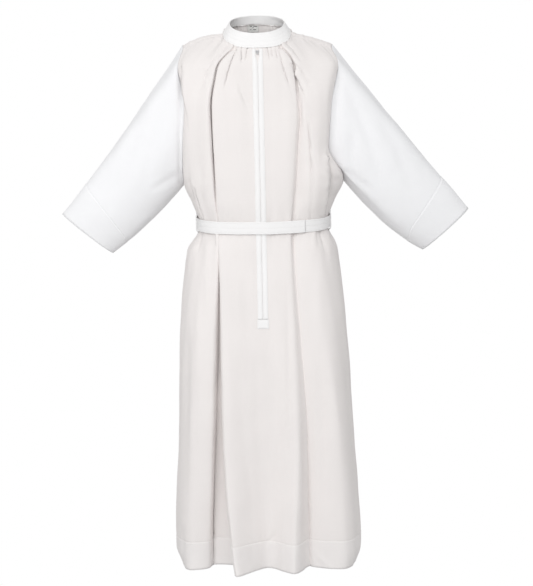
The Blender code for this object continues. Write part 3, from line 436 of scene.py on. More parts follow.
# ---------------------------------------------------------------- the form of the cloth


def mix(a, b, share):
    """The value that share of the way from a to b."""
    return a + (b - a) * share


def ease(low, high, at):
    """A smooth step from 0 at low to 1 at high."""
    t = np.clip((at - low) / (high - low), 0.0, 1.0)
    return t * t * (3 - 2 * t)


def bell(at, middle, width):
    """1 at the middle, falling smoothly to 0 on both sides."""
    return np.exp(-(((at - middle) / width) ** 2))


def smooth_between(t, start, setting_off, end, arriving):
    """A cubic from start to end, with a slope at each."""
    return (
        (2 * t**3 - 3 * t**2 + 1) * start
        + (t**3 - 2 * t**2 + t) * setting_off
        + (3 * t**2 - 2 * t**3) * end
        + (t**3 - t**2) * arriving
    )


def between_heights(heights, values, at):
    """Smooth values between a table's rows, with no overshoot, at an array of heights."""
    heights, values = np.array(heights), np.array(values)
    at = np.clip(at, heights[0], heights[-1])
    slopes = np.diff(values) / np.diff(heights)
    same_way = slopes[:-1] * slopes[1:] > 0
    total = np.where(same_way, slopes[:-1] + slopes[1:], 1.0)
    inner = np.where(same_way, 2 * slopes[:-1] * slopes[1:] / total, 0.0)
    tangents = np.concatenate([slopes[:1], inner, slopes[-1:]])
    k = np.clip(np.searchsorted(heights, at, side="right") - 1, 0, len(heights) - 2)
    span = heights[k + 1] - heights[k]
    t = (at - heights[k]) / span
    return smooth_between(t, values[k], span * tangents[k], values[k + 1], span * tangents[k + 1])


def half_stations(table, sides, middle, downs):
    """The fold lines of a half section at each height, from the middle to the side, as (x, out)."""
    heights = [row.down for row in table]

    def read(column):
        return between_heights(heights, [getattr(row, column) for row in table], downs)

    side = between_heights(heights, [row.side for row in sides], downs)
    arm = np.clip((downs - ARMHOLE_MIDDLE) / ARMHOLE_HALF_HEIGHT, -1.0, 1.0)
    side_out = ARMHOLE_HALF_DEPTH * np.sqrt(1 - arm * arm)
    crest_x, crest_out = read("crest_x"), read("crest_out")
    columns = [(np.zeros_like(downs), between_heights(heights, middle, downs))]
    columns += [(read(line + "_x"), read(line + "_out")) for line in ("edge", "root", "deep", "lip")]
    columns += [(crest_x, crest_out)]
    columns += [(mix(crest_x, side, FLANK_SHARE), mix(side_out, crest_out, FLANK_OUT)), (side, side_out)]
    return np.array(columns).transpose(2, 0, 1)


def sections(panel, downs):
    """A panel's fold lines at each height, from the left side to the right, as points in plan."""
    if panel == "front":
        left = half_stations(FRONT_LEFT, FRONT_LEFT, FRONT_MIDDLE, downs)
        right = half_stations(FRONT_RIGHT, FRONT_RIGHT, FRONT_MIDDLE, downs)
        facing = -1.0
    else:
        left = half_stations(BACK, FRONT_LEFT, BACK_MIDDLE, downs)
        right = half_stations(BACK, FRONT_RIGHT, BACK_MIDDLE, downs)
        facing = 1.0
    return np.concatenate([left[:, ::-1] * (-1.0, facing), right[:, 1:] * (1.0, facing)], axis=1)


def through(points, index, share):
    """Points on the smooth curves through each row's plan points, between two neighbours."""
    a, b, c, d = (points[:, index + k] for k in range(4))
    knots = [np.zeros(a.shape[:2] + (1,))]
    for p, q in ((a, b), (b, c), (c, d)):
        gap = np.linalg.norm(q - p, axis=2, keepdims=True)
        knots.append(knots[-1] + np.sqrt(np.maximum(gap, 1e-5)))
    t = mix(knots[1], knots[2], share[None, :, None])

    def level(p, q, i, j):
        return p * ((knots[j] - t) / (knots[j] - knots[i])) + q * ((t - knots[i]) / (knots[j] - knots[i]))

    ab, bc, cd = level(a, b, 0, 1), level(b, c, 1, 2), level(c, d, 2, 3)
    return level(level(ab, bc, 0, 2), level(bc, cd, 1, 3), 1, 2)


def lower_points(panel, lines, downs):
    """The cloth below the yoke: a row for each height, a column for each fold line."""
    own = sections(panel, downs)
    other = sections("back" if panel == "front" else "front", downs)
    joined = (downs >= UNDERARM)[:, None]
    before = np.where(joined, other[:, 1], 2 * own[:, 0] - own[:, 1])
    after = np.where(joined, other[:, -2], 2 * own[:, -1] - own[:, -2])
    points = np.concatenate([before[:, None], own, after[:, None]], axis=1)
    place = np.clip(lines + STATIONS, 0.0, 2 * STATIONS)
    index = np.minimum(place.astype(int), 2 * STATIONS - 1)
    plan = through(points, index, place - index)
    share = np.maximum(0.0, (downs - HEM_DIP_FROM) / (HEM - HEM_DIP_FROM))
    dip = HEM_DIP * share[:, None] * (np.abs(lines)[None, :] / STATIONS) ** 6
    return np.dstack([plan, -downs[:, None] - dip])


def oval_point(ring, angle, drop=0.0):
    """A point of one of the collar's ovals, at an angle in degrees from the middle of the front."""
    turn = math.radians(angle)
    across, ahead = math.sin(turn), math.cos(turn)
    power = 2 / ring["square"] if ahead > 0 else 1.0
    depth = ring["front"] if ahead > 0 else ring["back"]
    x = ring["half_width"] * math.copysign(abs(across) ** power, across)
    y = -depth * math.copysign(abs(ahead) ** power, ahead)
    rise = ring["rise"] * across**2 + ring["back_up"] * min(ahead, 0.0) ** 2
    return np.array([x, y, ring["height"] + COLLAR_TILT * y + rise - drop])


def ridge_height(x, side):
    """The height of the shoulder's ridge."""
    neck = oval_point(COLLAR_FOOT, SHOULDER_ANGLE)[0]
    past = abs(x) - neck
    share = past / (SHOULDER_X - neck)
    ridge = RIDGE["right" if side > 0 else "left"]
    return RIDGE_AT_NECK - ridge["slope"] * past + 4 * ridge["bow"] * share * (1 - share)


def seam_point(share, side):
    """A point of the shoulder seam, from the collar to the armhole."""
    start = oval_point(COLLAR_FOOT, SHOULDER_ANGLE)
    x = mix(start[0], SHOULDER_X, share)
    drop = mix(SEAM_DROP["at_arm"], SEAM_DROP["at_neck"], (1 - share) ** SEAM_DROP["curve"])
    return np.array([side * x, mix(start[1], -SEAM_FORWARD_AT_ARM, share), ridge_height(x, side) - drop])


def top_point(panel, line):
    """Where a fold line meets the collar or the shoulder seam."""
    side = 1 if line >= 0 else -1
    size = abs(line)
    if panel == "back":
        angles = NECK_ANGLES["back"]
    else:
        angles = NECK_ANGLES["front_right" if side > 0 else "front_left"]
    neck = len(angles) - 1
    if size < neck:
        index = int(size)
        angle = mix(angles[index], angles[index + 1], size - index)
        point = oval_point(COLLAR_FOOT, angle if panel == "front" else 180.0 - angle, NECK_DROP)
        return point * (side, 1, 1)
    index = min(int(size - neck), len(SHOULDER_SHARES) - 2)
    share = mix(SHOULDER_SHARES[index], SHOULDER_SHARES[index + 1], size - neck - index)
    return seam_point(share, side)


def cloth_points(panel, lines, downs):
    """A whole panel's points: a row for each height, a column for each fold line."""
    lines, downs = np.asarray(lines, float), np.asarray(downs, float)
    points = lower_points(panel, lines, downs)
    yoke = downs < YOKE
    if yoke.any():
        start = np.array([top_point(panel, line) for line in lines])
        end = lower_points(panel, lines, np.array([YOKE]))[0]
        leaving = (lower_points(panel, lines, np.array([YOKE + 0.01]))[0] - end) * (YOKE / 0.01)
        over = np.clip(np.abs(lines) - 4.0, 0.0, 1.0)[:, None]
        back = mix(np.array(YOKE_LEAVES_BACK), np.array(YOKE_LEAVES_SHOULDER), over)
        setting_off = np.array(YOKE_LEAVES_FRONT)[None] if panel == "front" else back
        t = (downs[yoke] / YOKE)[:, None, None]
        points[yoke] = smooth_between(t, start, setting_off, end, leaving)
    return points


def normals_of(points):
    """Unit normals of a grid of points."""
    normals = np.cross(np.gradient(points, axis=1), np.gradient(points, axis=0))
    return normals / np.maximum(np.linalg.norm(normals, axis=2, keepdims=True), 1e-12)


def normals_facing(points, outward):
    """Unit normals of a panel, turned so that its middle faces forwards (-1) or backwards (1)."""
    normals = normals_of(points)
    faces = (normals[:, points.shape[1] // 2, 1] * outward).mean()
    return -normals if faces < 0 else normals


def normals_away(points, centre):
    """Unit normals of a grid, turned away from what it goes round."""
    normals = normals_of(points)
    return -normals if (normals * (points - centre)).sum() < 0 else normals


def fold_press(points, facing, folds, strength):
    """How far out, and how far sideways, each point moves for the folds in a table."""
    flat = points[:, :, (0, 2)].reshape(-1, 2)
    seen = ease(0.10, 0.55, facing).ravel()
    moved, slid = np.zeros(len(flat)), np.zeros(len(flat))
    t = np.linspace(0.0, 1.0, 40)
    for fold in folds:
        a, b, c = np.array([[fold.x0, fold.z0], [fold.x1, fold.z1], [fold.x2, fold.z2]])
        middle = 2 * b - (a + c) / 2
        curve = np.outer((1 - t) ** 2, a) + np.outer(2 * t * (1 - t), middle) + np.outer(t**2, c)
        reach = 4 * fold.width
        near = np.all((flat > curve.min(0) - reach) & (flat < curve.max(0) + reach), axis=1) & (seen > 0)
        if not near.any():
            continue
        offset = flat[near][:, None] - curve[None]
        gap = np.linalg.norm(offset, axis=2)
        best = gap.argmin(axis=1)
        tangent = np.gradient(curve, axis=0)[best]
        away = offset[np.arange(len(best)), best]
        side = np.sign(tangent[:, 0] * away[:, 1] - tangent[:, 1] * away[:, 0])
        s = side * gap.min(axis=1) / fold.width
        trough = -np.exp(-((1.3 * s) ** 2))
        lapped = 0.6 * trough - fold.lap * 0.75 * np.tanh(s / 0.16) * np.exp(-np.abs(s) * 1.1)
        at = t[best]
        level = mix(fold.start, 1.0, ease(0.0, 0.35, at)) * mix(fold.end, 1.0, ease(0.0, 0.5, 1 - at))
        pushed = fold.depth * level * seen[near]
        moved[near] += pushed * (lapped if fold.lap else trough)
        slid[near] += pushed * fold.lap * bell(s * fold.lap, -0.30, 0.45)
    return strength * moved.reshape(points.shape[:2]), strength * slid.reshape(points.shape[:2])


def noise_at(places, seed):
    """Smooth noise, from -1 to 1, at an array of places."""
    flat = places.reshape(-1, 3) + (17.3 * seed, 5.1 * seed, 9.7 * seed)
    return np.array([noise.noise(place) for place in flat.tolist()]).reshape(places.shape[:-1])


def bumps(arc, down, size, seed):
    """Smooth noise over flat cloth, with bumps of a size across and down."""
    return noise_at(np.dstack([arc / size[0], down / size[1], np.zeros_like(arc)]), seed)


def arc_across(points):
    """Each point's distance along its row, from the row's middle column."""
    steps = np.linalg.norm(np.diff(points, axis=1), axis=2)
    arc = np.concatenate([np.zeros((len(points), 1)), np.cumsum(steps, axis=1)], axis=1)
    return arc - arc[:, [points.shape[1] // 2]]


def steps_across(steps):
    """The fold lines of a panel's columns, from its left side to its right."""
    half = [0.0]
    for index, count in enumerate(steps):
        half += [index + (k + 1) / count for k in range(count)]
    return np.array([-line for line in reversed(half[1:])] + half)


class Cloth:
    """A finished grid of cloth: its points, its normals, and the fold lines and heights of its grid."""

    def __init__(self, points, normals, lines, downs):
        self.points, self.normals = points, normals
        self.lines, self.downs = lines, downs

    def at_x(self, x, down):
        """The point and the normal at a distance across the middle panel and down."""
        rows = np.interp(down, self.downs, np.arange(len(self.downs)))
        row = min(int(rows), len(self.downs) - 2)
        middle = np.where(np.abs(self.lines) <= 1.0)[0]
        found = []
        for grid in (self.points, self.normals):
            pair = []
            for r in (row, row + 1):
                across = self.points[r, middle, 0]
                pair.append([np.interp(x, across, grid[r, middle, k]) for k in range(3)])
            found.append(mix(np.array(pair[0]), np.array(pair[1]), rows - row))
        return found[0], found[1] / np.linalg.norm(found[1])


def body_downs(hem_band):
    """The heights of the body's rows: close at the neck and where the hem is turned."""
    seam = HEM - hem_band
    return np.concatenate(
        [
            np.linspace(0.0, YOKE, 40)[:-1],
            np.linspace(YOKE, 0.56, 84)[:-1],
            np.linspace(0.56, seam - 0.012, 100)[:-1],
            np.linspace(seam - 0.012, seam + 0.012, 17)[:-1],
            np.linspace(seam + 0.012, HEM, 12),
        ]
    )


def on_side(name, lines):
    """True at the fold lines on the side that a table's name ends with, or at all if it names no side."""
    return np.where(lines < 0, not name.endswith("right"), not name.endswith("left"))


def main_pleats(panel, lines, downs):
    """How far out and sideways the cloth moves to sharpen its main pleats or to make them shallower."""
    press = np.zeros((len(downs), len(lines)))
    slide = np.zeros_like(press)
    place = np.abs(lines)
    for name, depths in PLEAT_CREASES.items():
        if name.startswith(panel):
            deep = between_heights(*zip(*depths), downs)[:, None] * on_side(name, lines)
            press += deep * (0.3 * bell(place, *CREASE_RIDGE) - bell(place, *CREASE))
            slide -= 0.6 * deep * np.sign(lines) * bell(place, *CREASE_SLIDE)
    for name, depths in PLEAT_FILLS.items():
        if name.startswith(panel):
            fill = between_heights(*zip(*depths), downs)[:, None] * on_side(name, lines)
            press += fill * bell(place, *FILL)
    return press, slide


def neck_gathers(panel, lines, arc, down, depth):
    """How far out the cloth moves for the gathers under the collar and the small puff just below it."""
    fine, wide = bumps(arc, down, GATHER_FINE, 1), bumps(arc, down, GATHER_WIDE, 2)
    away_from_zip = mix(0.35, 1.0, ease(0.012, 0.030, np.abs(arc)) if panel == "front" else 1.0)
    start = ease(-0.002, 0.004, down)
    gathers = depth * start * (fine * np.exp(-down / 0.030) + wide * np.exp(-down / 0.075))
    on_neck = ease(5.2, 4.6, np.abs(lines))
    puff = 0.0022 * on_neck * bell(down, 0.007, 0.006)
    return away_from_zip * (gathers + puff)


def hem_press(lines, arc, down, hem_band):
    """How far out the cloth moves for the turned hem's band, its stitched line and its puckers."""
    below = down - (HEM - hem_band)
    press = 0.0011 * bumps(arc, down, HEM_PUCKER, 6) * np.exp(-np.abs(below) / 0.016)
    press += 0.0006 * ease(-0.0006, 0.0008, below) - 0.0011 * bell(below, 0.0, 0.0016)
    side_seam = bell(STATIONS - np.abs(lines), 0.0, 0.05) * ease(YOKE, YOKE + 0.02, down)
    return press - 0.0014 * side_seam


def body_cloth(panel, steps, folds, sizes):
    """The front or the back with its folds, gathers, waist creases and turned hem."""
    lines, downs = steps_across(steps), body_downs(sizes.hem_band)
    outward = -1.0 if panel == "front" else 1.0
    points = cloth_points(panel, lines, downs)
    normals = normals_facing(points, outward)
    press, slide = fold_press(points, normals[:, :, 1] * outward, folds, sizes.folds)

    arc = arc_across(points)
    down = np.repeat(downs[:, None], len(lines), axis=1)
    top_arc = np.repeat(arc[:1], len(downs), axis=0)
    press += neck_gathers(panel, lines, top_arc, down, sizes.gathers)
    pleat_press, pleat_slide = main_pleats(panel, lines, downs)
    press += pleat_press
    slide += pleat_slide

    from_belt = np.abs(down - WAIST)
    held_in = np.exp(-np.maximum(from_belt - 0.018, 0.0) / 0.040) * ease(0.004, 0.020, from_belt)
    press += 0.0026 * held_in * bumps(arc, down, WAIST_CREASE, 3)

    broad = noise_at(points / 0.085, 4)
    upright = noise_at(points / (0.026, 0.026, 0.40), 5)
    press += (0.0016 * broad + 0.0020 * upright) * ease(0.02, 0.16, down)
    press += hem_press(lines, arc, down, sizes.hem_band)

    points = points + press[:, :, None] * normals
    points[:, :, 0] += slide
    return Cloth(points, normals_facing(points, outward), lines, downs)


def sleeve_cloth(side, front, back, sizes):
    """A sleeve, from the armhole's edge to the cuff: a row for each ring."""
    column = 0 if side == "left" else -1
    count = int(np.searchsorted(front.downs, UNDERARM)) + 1
    front_edge, back_edge = front.points[:count, column], back.points[:count, column]

    def spread(edge):
        along = lengths_along(edge)
        wanted = np.linspace(0.0, along[-1], 57)
        return np.array([np.interp(wanted, along, edge[:, k]) for k in range(3)]).T

    ring = np.concatenate([spread(front_edge), spread(back_edge)[::-1][1:]])
    turns = np.linspace(0.0, 2 * math.pi, len(ring))
    sign = -1.0 if side == "left" else 1.0
    top, bottom = (np.array((x, 0.0, z)) for x, z in (CUFFS[side]["top"], CUFFS[side]["bottom"]))
    middle, upward = (top + bottom) / 2, (top - bottom) / 2
    depth = -CUFF_HALF_DEPTH * np.sin(turns)
    cuff = middle + np.outer(np.cos(turns), upward) + np.outer(depth, (0.0, 1.0, 0.0))
    shares = np.concatenate(
        [
            np.linspace(0.0, SLEEVE_HEM_FROM - 0.02, 62)[:-1],
            np.linspace(SLEEVE_HEM_FROM - 0.02, SLEEVE_HEM_FROM + 0.02, 12)[:-1],
            np.linspace(SLEEVE_HEM_FROM + 0.02, 1.0, 14),
        ]
    )
    t = shares[:, None, None]
    points = mix(ring + (sign * 0.0003, 0.0, 0.0), cuff[None], t)
    points[:, :, 1] *= 1 + SLEEVE_FULLNESS * np.sin(math.pi * shares)[:, None]
    sag = mix(SLEEVE_SAG[side]["top"], SLEEVE_SAG[side]["bottom"], (1 - np.cos(turns)) / 2)
    points[:, :, 2] -= np.outer(4 * shares * (1 - shares), sag)
    centre = points[:, :-1].mean(axis=1, keepdims=True)
    normals = normals_away(points, centre)
    tables = {
        "left": (SLEEVE_LEFT_FRONT_FOLDS, SLEEVE_LEFT_BACK_FOLDS),
        "right": (SLEEVE_RIGHT_FRONT_FOLDS, SLEEVE_RIGHT_BACK_FOLDS),
    }[side]
    press = 0.0
    for way, table in zip((-1, 1), tables):
        press = press + fold_press(points, way * normals[:, :, 1], table, sizes.folds)[0]
    seed = 11 if side == "left" else 12
    uneven = 0.0016 * noise_at(points / 0.075, seed) + 0.0006 * noise_at(points / 0.030, seed)
    press += uneven * ease(0.0, 0.10, shares)[:, None]
    sleeve_length = np.linalg.norm(middle - ring.mean(axis=0))
    below = ((shares - SLEEVE_HEM_FROM) * sleeve_length)[:, None]
    press += 0.0006 * ease(-0.0008, 0.0010, below) - 0.0010 * bell(below, 0.0, 0.0020)
    points = points + press[:, :, None] * normals
    points[:, -1] = points[:, 0]
    return Cloth(points, normals_away(points, centre), turns, shares)


# ---------------------------------------------------------------- pieces


def point_out(bm, place, normals):
    """Turns the faces of a grid to the side that its normals say."""
    bm.normal_update()
    total = 0.0
    for face in bm.faces:
        row, column = place[face.verts[0].index]
        total += face.normal.dot(normals[row, column])
    if total < 0:
        bmesh.ops.reverse_faces(bm, faces=bm.faces)


def laid_grid(points, flat, normals, closed=False):
    """A grid laid on rows of points, with flat cloth lengths as its UV map, and its faces outwards."""
    rows, columns = points.shape[:2]
    bm = bmesh.new()
    layer = bm.loops.layers.uv.new("flat")
    bmesh.ops.create_grid(bm, x_segments=columns - 1, y_segments=rows - 1, size=1.0)
    bm.verts.index_update()
    place = {}
    for vert in bm.verts:
        column = round((vert.co.x + 1) / 2 * (columns - 1))
        row = round((1 - vert.co.y) / 2 * (rows - 1))
        place[vert.index] = (row, column)
        vert.co = points[row, column]
    for face in bm.faces:
        face.smooth = True
        for loop in face.loops:
            row, column = place[loop.vert.index]
            loop[layer].uv = flat[row, column]
    point_out(bm, place, normals)
    if closed:
        bmesh.ops.remove_doubles(bm, verts=bm.verts, dist=1e-6)
    return bm


def new_piece(bm, name, made_of):
    """An object from a bmesh, at the origin, with its material."""
    mesh = bpy.data.meshes.new(name)
    bm.to_mesh(mesh)
    bm.free()
    piece = bpy.data.objects.new(name, mesh)
    bpy.context.scene.collection.objects.link(piece)
    mesh.materials.append(made_of)
    return piece


def wall(piece, thickness):
    """Gives a sheet its thickness, half on each side."""
    solid = piece.modifiers.new("wall", "SOLIDIFY")
    solid.thickness = thickness
    solid.offset = 0.0
    solid.use_even_offset = False


def belongs(piece, slot, *nodes):
    """The piece rides on the robe and stands for its solids, which are hidden. Its slot is not used."""
    if nodes:
        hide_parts(*nodes)
    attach(piece, "robe")


def lengths_along(points):
    """Each point's distance along a line of points."""
    return np.concatenate([[0.0], np.cumsum(np.linalg.norm(np.diff(points, axis=0), axis=1))])


def flat_lengths(points):
    """Each point's distance across its row and down its column, in metres of flat cloth."""
    down = lengths_along(points[:, points.shape[1] // 2])
    return np.dstack([arc_across(points), np.repeat(down[:, None], points.shape[1], axis=1)])


def band_profile(height, thickness, stitch_rows):
    """The closed outline of a stitched band, as heights and distances out: up outside and down inside."""
    rises = np.linspace(0.0, 1.0, 41)[1:-1]
    out = np.full_like(rises, thickness / 2)
    for row in stitch_rows:
        out -= 0.00032 * bell((rises - row) * height, 0.0, 0.0011)
    puff = 0.00025 * np.sin(np.pi * rises)
    turn = np.linspace(0.0, np.pi, 7)[1:-1]
    over = np.array([height - 0.0004 + 0.0009 * np.sin(turn), thickness / 2 * np.cos(turn)]).T
    under = np.array([0.0004 - 0.0009 * np.sin(turn), -thickness / 2 * np.cos(turn)]).T
    outside = np.array([rises * height, out + puff]).T
    inside = np.array([np.linspace(1.0, 0.0, 14)[1:-1] * height, np.full(12, -thickness / 2)]).T
    return np.concatenate([outside, over, inside, under])


def closed_band(points, lengths, profile):
    """A band with a closed outline and a row for each step along it, capped where its ends don't meet."""
    flat = np.dstack(np.meshgrid(lengths, lengths_along(profile), indexing="ij"))
    points = np.concatenate([points, points[:, :1]], axis=1)
    flat = np.concatenate([flat, flat[:, :1]], axis=1)
    normals = normals_away(points, points.mean(axis=1, keepdims=True))
    bm = laid_grid(points, flat, normals, closed=True)
    ends = [edge for edge in bm.edges if edge.is_boundary]
    bmesh.ops.holes_fill(bm, edges=ends, sides=0)
    return bm


def stitch_runs(name, runs, pitch, made_of):
    """A piece of short round stitches along runs of points, each a list of places and the normals there."""
    bm = bmesh.new()
    for places, normals in runs:
        along = lengths_along(places)
        for k in range(int(along[-1] / pitch)):
            ends = []
            for at in ((k + 0.14) * pitch, (k + 0.86) * pitch):
                ends.append(np.array([np.interp(at, along, places[:, i]) for i in range(3)]))
            out = np.array([np.interp((k + 0.5) * pitch, along, normals[:, i]) for i in range(3)])
            middle = (ends[0] + ends[1]) / 2 + out * STITCH_RADIUS * 0.5
            run = Vector(ends[1] - ends[0])
            turn = Vector((0, 0, 1)).rotation_difference(run).to_matrix().to_4x4()
            bmesh.ops.create_cone(
                bm,
                cap_ends=True,
                segments=5,
                radius1=STITCH_RADIUS,
                radius2=STITCH_RADIUS,
                depth=run.length,
                matrix=Matrix.Translation(middle) @ turn,
            )
    return new_piece(bm, name, made_of)


# ---------------------------------------------------------------- materials


def new_group(name, inputs, outputs):
    """A shader node group with named sockets."""
    group = bpy.data.node_groups.new(name, "ShaderNodeTree")
    kinds = {"value": "NodeSocketFloat", "colour": "NodeSocketColor", "vector": "NodeSocketVector"}
    for label, kind, default in inputs:
        socket = group.interface.new_socket(name=label, in_out="INPUT", socket_type=kinds[kind])
        if default is not None:
            socket.default_value = default
    for label, kind in outputs:
        group.interface.new_socket(name=label, in_out="OUTPUT", socket_type=kinds[kind])
    return group, group.nodes.new("NodeGroupInput"), group.nodes.new("NodeGroupOutput")


def reckon(tree, operation, *values):
    """A Math node with its inputs set or joined. Returns its output."""
    node = tree.nodes.new("ShaderNodeMath")
    node.operation = operation
    for socket, value in zip(node.inputs, values):
        if isinstance(value, (int, float)):
            socket.default_value = value
        else:
            tree.links.new(value, socket)
    return node.outputs[0]


def weave_group():
    """A plain weave over flat cloth: threads over and under each other, as a height from 0 to 1."""
    group, given, result = new_group(
        "plain_weave", [("Flat", "vector", None), ("Thread", "value", 0.0005)], [("Height", "value")]
    )
    apart = group.nodes.new("ShaderNodeSeparateXYZ")
    group.links.new(given.outputs["Flat"], apart.inputs[0])
    across = reckon(group, "DIVIDE", apart.outputs[0], given.outputs["Thread"])
    along = reckon(group, "DIVIDE", apart.outputs[1], given.outputs["Thread"])
    warp = reckon(group, "ABSOLUTE", reckon(group, "SINE", reckon(group, "MULTIPLY", across, math.pi)))
    weft = reckon(group, "ABSOLUTE", reckon(group, "SINE", reckon(group, "MULTIPLY", along, math.pi)))
    cells = reckon(group, "ADD", reckon(group, "FLOOR", across), reckon(group, "FLOOR", along))
    over = reckon(group, "FLOORED_MODULO", cells, 2.0)
    top = reckon(group, "MULTIPLY", warp, reckon(group, "MULTIPLY_ADD", weft, 0.6, 0.4))
    under = reckon(group, "MULTIPLY", weft, reckon(group, "MULTIPLY_ADD", warp, 0.6, 0.4))
    kept = reckon(group, "MULTIPLY", top, over)
    rest = reckon(group, "MULTIPLY", under, reckon(group, "SUBTRACT", 1.0, over))
    group.links.new(reckon(group, "ADD", kept, rest), result.inputs["Height"])
    return group


def noise_value(tree, vector, scale, detail):
    """A Noise Texture's value at a place."""
    node = tree.nodes.new("ShaderNodeTexNoise")
    node.inputs["Scale"].default_value = scale
    node.inputs["Detail"].default_value = detail
    tree.links.new(vector, node.inputs["Vector"])
    return node.outputs[0]


def stretched(tree, vector, scale):
    """A place scaled along each axis, so that noise over it is drawn out."""
    node = tree.nodes.new("ShaderNodeMapping")
    node.inputs["Scale"].default_value = scale
    tree.links.new(vector, node.inputs["Vector"])
    return node.outputs[0]


def tone_group():
    """Uneven cloth colour: broad soft patches, and fine thick and thin threads along the grain."""
    inputs = [
        ("Colour", "colour", (0.8, 0.8, 0.8, 1.0)),
        ("Place", "vector", None),
        ("Flat", "vector", None),
        ("Unevenness", "value", 0.05),
    ]
    group, given, result = new_group("cloth_tone", inputs, [("Colour", "colour"), ("Height", "value")])
    patches = noise_value(group, given.outputs["Place"], 7.0, 2.0)
    slubs = noise_value(group, stretched(group, given.outputs["Flat"], (900.0, 14.0, 1.0)), 1.0, 2.0)
    cross = noise_value(group, stretched(group, given.outputs["Flat"], (16.0, 800.0, 1.0)), 1.0, 2.0)
    height = reckon(group, "MULTIPLY", reckon(group, "ADD", slubs, cross), 0.5)
    fine = reckon(group, "MULTIPLY", reckon(group, "SUBTRACT", height, 0.5), 0.8)
    level = reckon(group, "ADD", reckon(group, "SUBTRACT", patches, 0.5), fine)
    gain = reckon(group, "ADD", 1.0, reckon(group, "MULTIPLY", level, given.outputs["Unevenness"]))
    tinted = group.nodes.new("ShaderNodeVectorMath")
    tinted.operation = "SCALE"
    group.links.new(given.outputs["Colour"], tinted.inputs[0])
    group.links.new(gain, tinted.inputs["Scale"])
    group.links.new(tinted.outputs[0], result.inputs["Colour"])
    group.links.new(height, result.inputs["Height"])
    return group


def placed_group(tree, name):
    """A group node in a tree. Each group is made once."""
    builders = {"plain_weave": weave_group, "cloth_tone": tone_group}
    group = bpy.data.node_groups.get(name) or builders[name]()
    node = tree.nodes.new("ShaderNodeGroup")
    node.node_tree = group
    return node


def principled(name, colour, roughness, metallic=0.0):
    """A new material and its Principled shader."""
    made = bpy.data.materials.new(name)
    made.use_nodes = True
    shader = made.node_tree.nodes["Principled BSDF"]
    shader.inputs["Base Color"].default_value = (*colour, 1.0)
    shader.inputs["Roughness"].default_value = roughness
    shader.inputs["Metallic"].default_value = metallic
    return made, made.node_tree, shader


def bumped(tree, height, distance, strength, shader):
    """Gives a shader fine relief."""
    bump = tree.nodes.new("ShaderNodeBump")
    bump.inputs["Distance"].default_value = distance
    bump.inputs["Strength"].default_value = strength
    tree.links.new(height, bump.inputs["Height"])
    tree.links.new(bump.outputs[0], shader.inputs["Normal"])


def double_shade(tree, flat, colour, double_from, double_colour):
    """A colour that changes at a height of the flat cloth, where the cloth is double."""
    apart = tree.nodes.new("ShaderNodeSeparateXYZ")
    tree.links.new(flat, apart.inputs[0])
    below = tree.nodes.new("ShaderNodeMapRange")
    below.inputs["From Min"].default_value = double_from - 0.0008
    below.inputs["From Max"].default_value = double_from + 0.0008
    tree.links.new(apart.outputs[1], below.inputs["Value"])
    choose = tree.nodes.new("ShaderNodeMix")
    choose.data_type = "RGBA"
    single, double = [socket for socket in choose.inputs if socket.type == "RGBA"]
    single.default_value = (*colour, 1.0)
    double.default_value = (*double_colour, 1.0)
    tree.links.new(below.outputs["Result"], choose.inputs["Factor"])
    return next(socket for socket in choose.outputs if socket.type == "RGBA")


def cloth_material(name, colour, thread, unevenness, double_from=None, double_colour=None):
    """White plain-weave cloth. Where it is double, from a height of the flat cloth on, its shade changes."""
    made, tree, shader = principled(name, colour, 0.88)
    shader.inputs["Sheen Weight"].default_value = 0.12
    shader.inputs["Sheen Roughness"].default_value = 0.5
    shader.inputs["Specular IOR Level"].default_value = 0.25
    flat = tree.nodes.new("ShaderNodeUVMap")
    flat.uv_map = "flat"
    place = tree.nodes.new("ShaderNodeTexCoord")
    tone = placed_group(tree, "cloth_tone")
    tone.inputs["Unevenness"].default_value = unevenness
    tone.inputs["Colour"].default_value = (*colour, 1.0)
    tree.links.new(place.outputs["Object"], tone.inputs["Place"])
    tree.links.new(flat.outputs[0], tone.inputs["Flat"])
    if double_from is not None:
        coloured = double_shade(tree, flat.outputs[0], colour, double_from, double_colour)
        tree.links.new(coloured, tone.inputs["Colour"])
    weave = placed_group(tree, "plain_weave")
    weave.inputs["Thread"].default_value = thread
    tree.links.new(flat.outputs[0], weave.inputs["Flat"])
    rough_thread = reckon(tree, "MULTIPLY_ADD", tone.outputs["Height"], 0.9, weave.outputs["Height"])
    bumped(tree, rough_thread, 0.00012, 0.55, shader)
    tree.links.new(tone.outputs["Colour"], shader.inputs["Base Color"])
    return made


def thread_material(name, colour):
    """Sewing thread with its twist."""
    made, tree, shader = principled(name, colour, 0.6)
    shader.inputs["Sheen Weight"].default_value = 0.2
    place = tree.nodes.new("ShaderNodeTexCoord")
    twist = noise_value(tree, place.outputs["Object"], 2600.0, 1.0)
    bumped(tree, twist, 0.0001, 0.4, shader)
    return made


def metal_material(name, colour):
    """Cast and plated zip metal, with fine scratches."""
    made, tree, shader = principled(name, colour, 0.32, 1.0)
    place = tree.nodes.new("ShaderNodeTexCoord")
    scratches = noise_value(tree, stretched(tree, place.outputs["Object"], (4000.0, 4000.0, 400.0)), 1.0, 2.0)
    rough = tree.nodes.new("ShaderNodeMapRange")
    rough.inputs["To Min"].default_value = 0.24
    rough.inputs["To Max"].default_value = 0.44
    tree.links.new(scratches, rough.inputs["Value"])
    tree.links.new(rough.outputs["Result"], shader.inputs["Roughness"])
    bumped(tree, scratches, 0.00004, 0.5, shader)
    return made


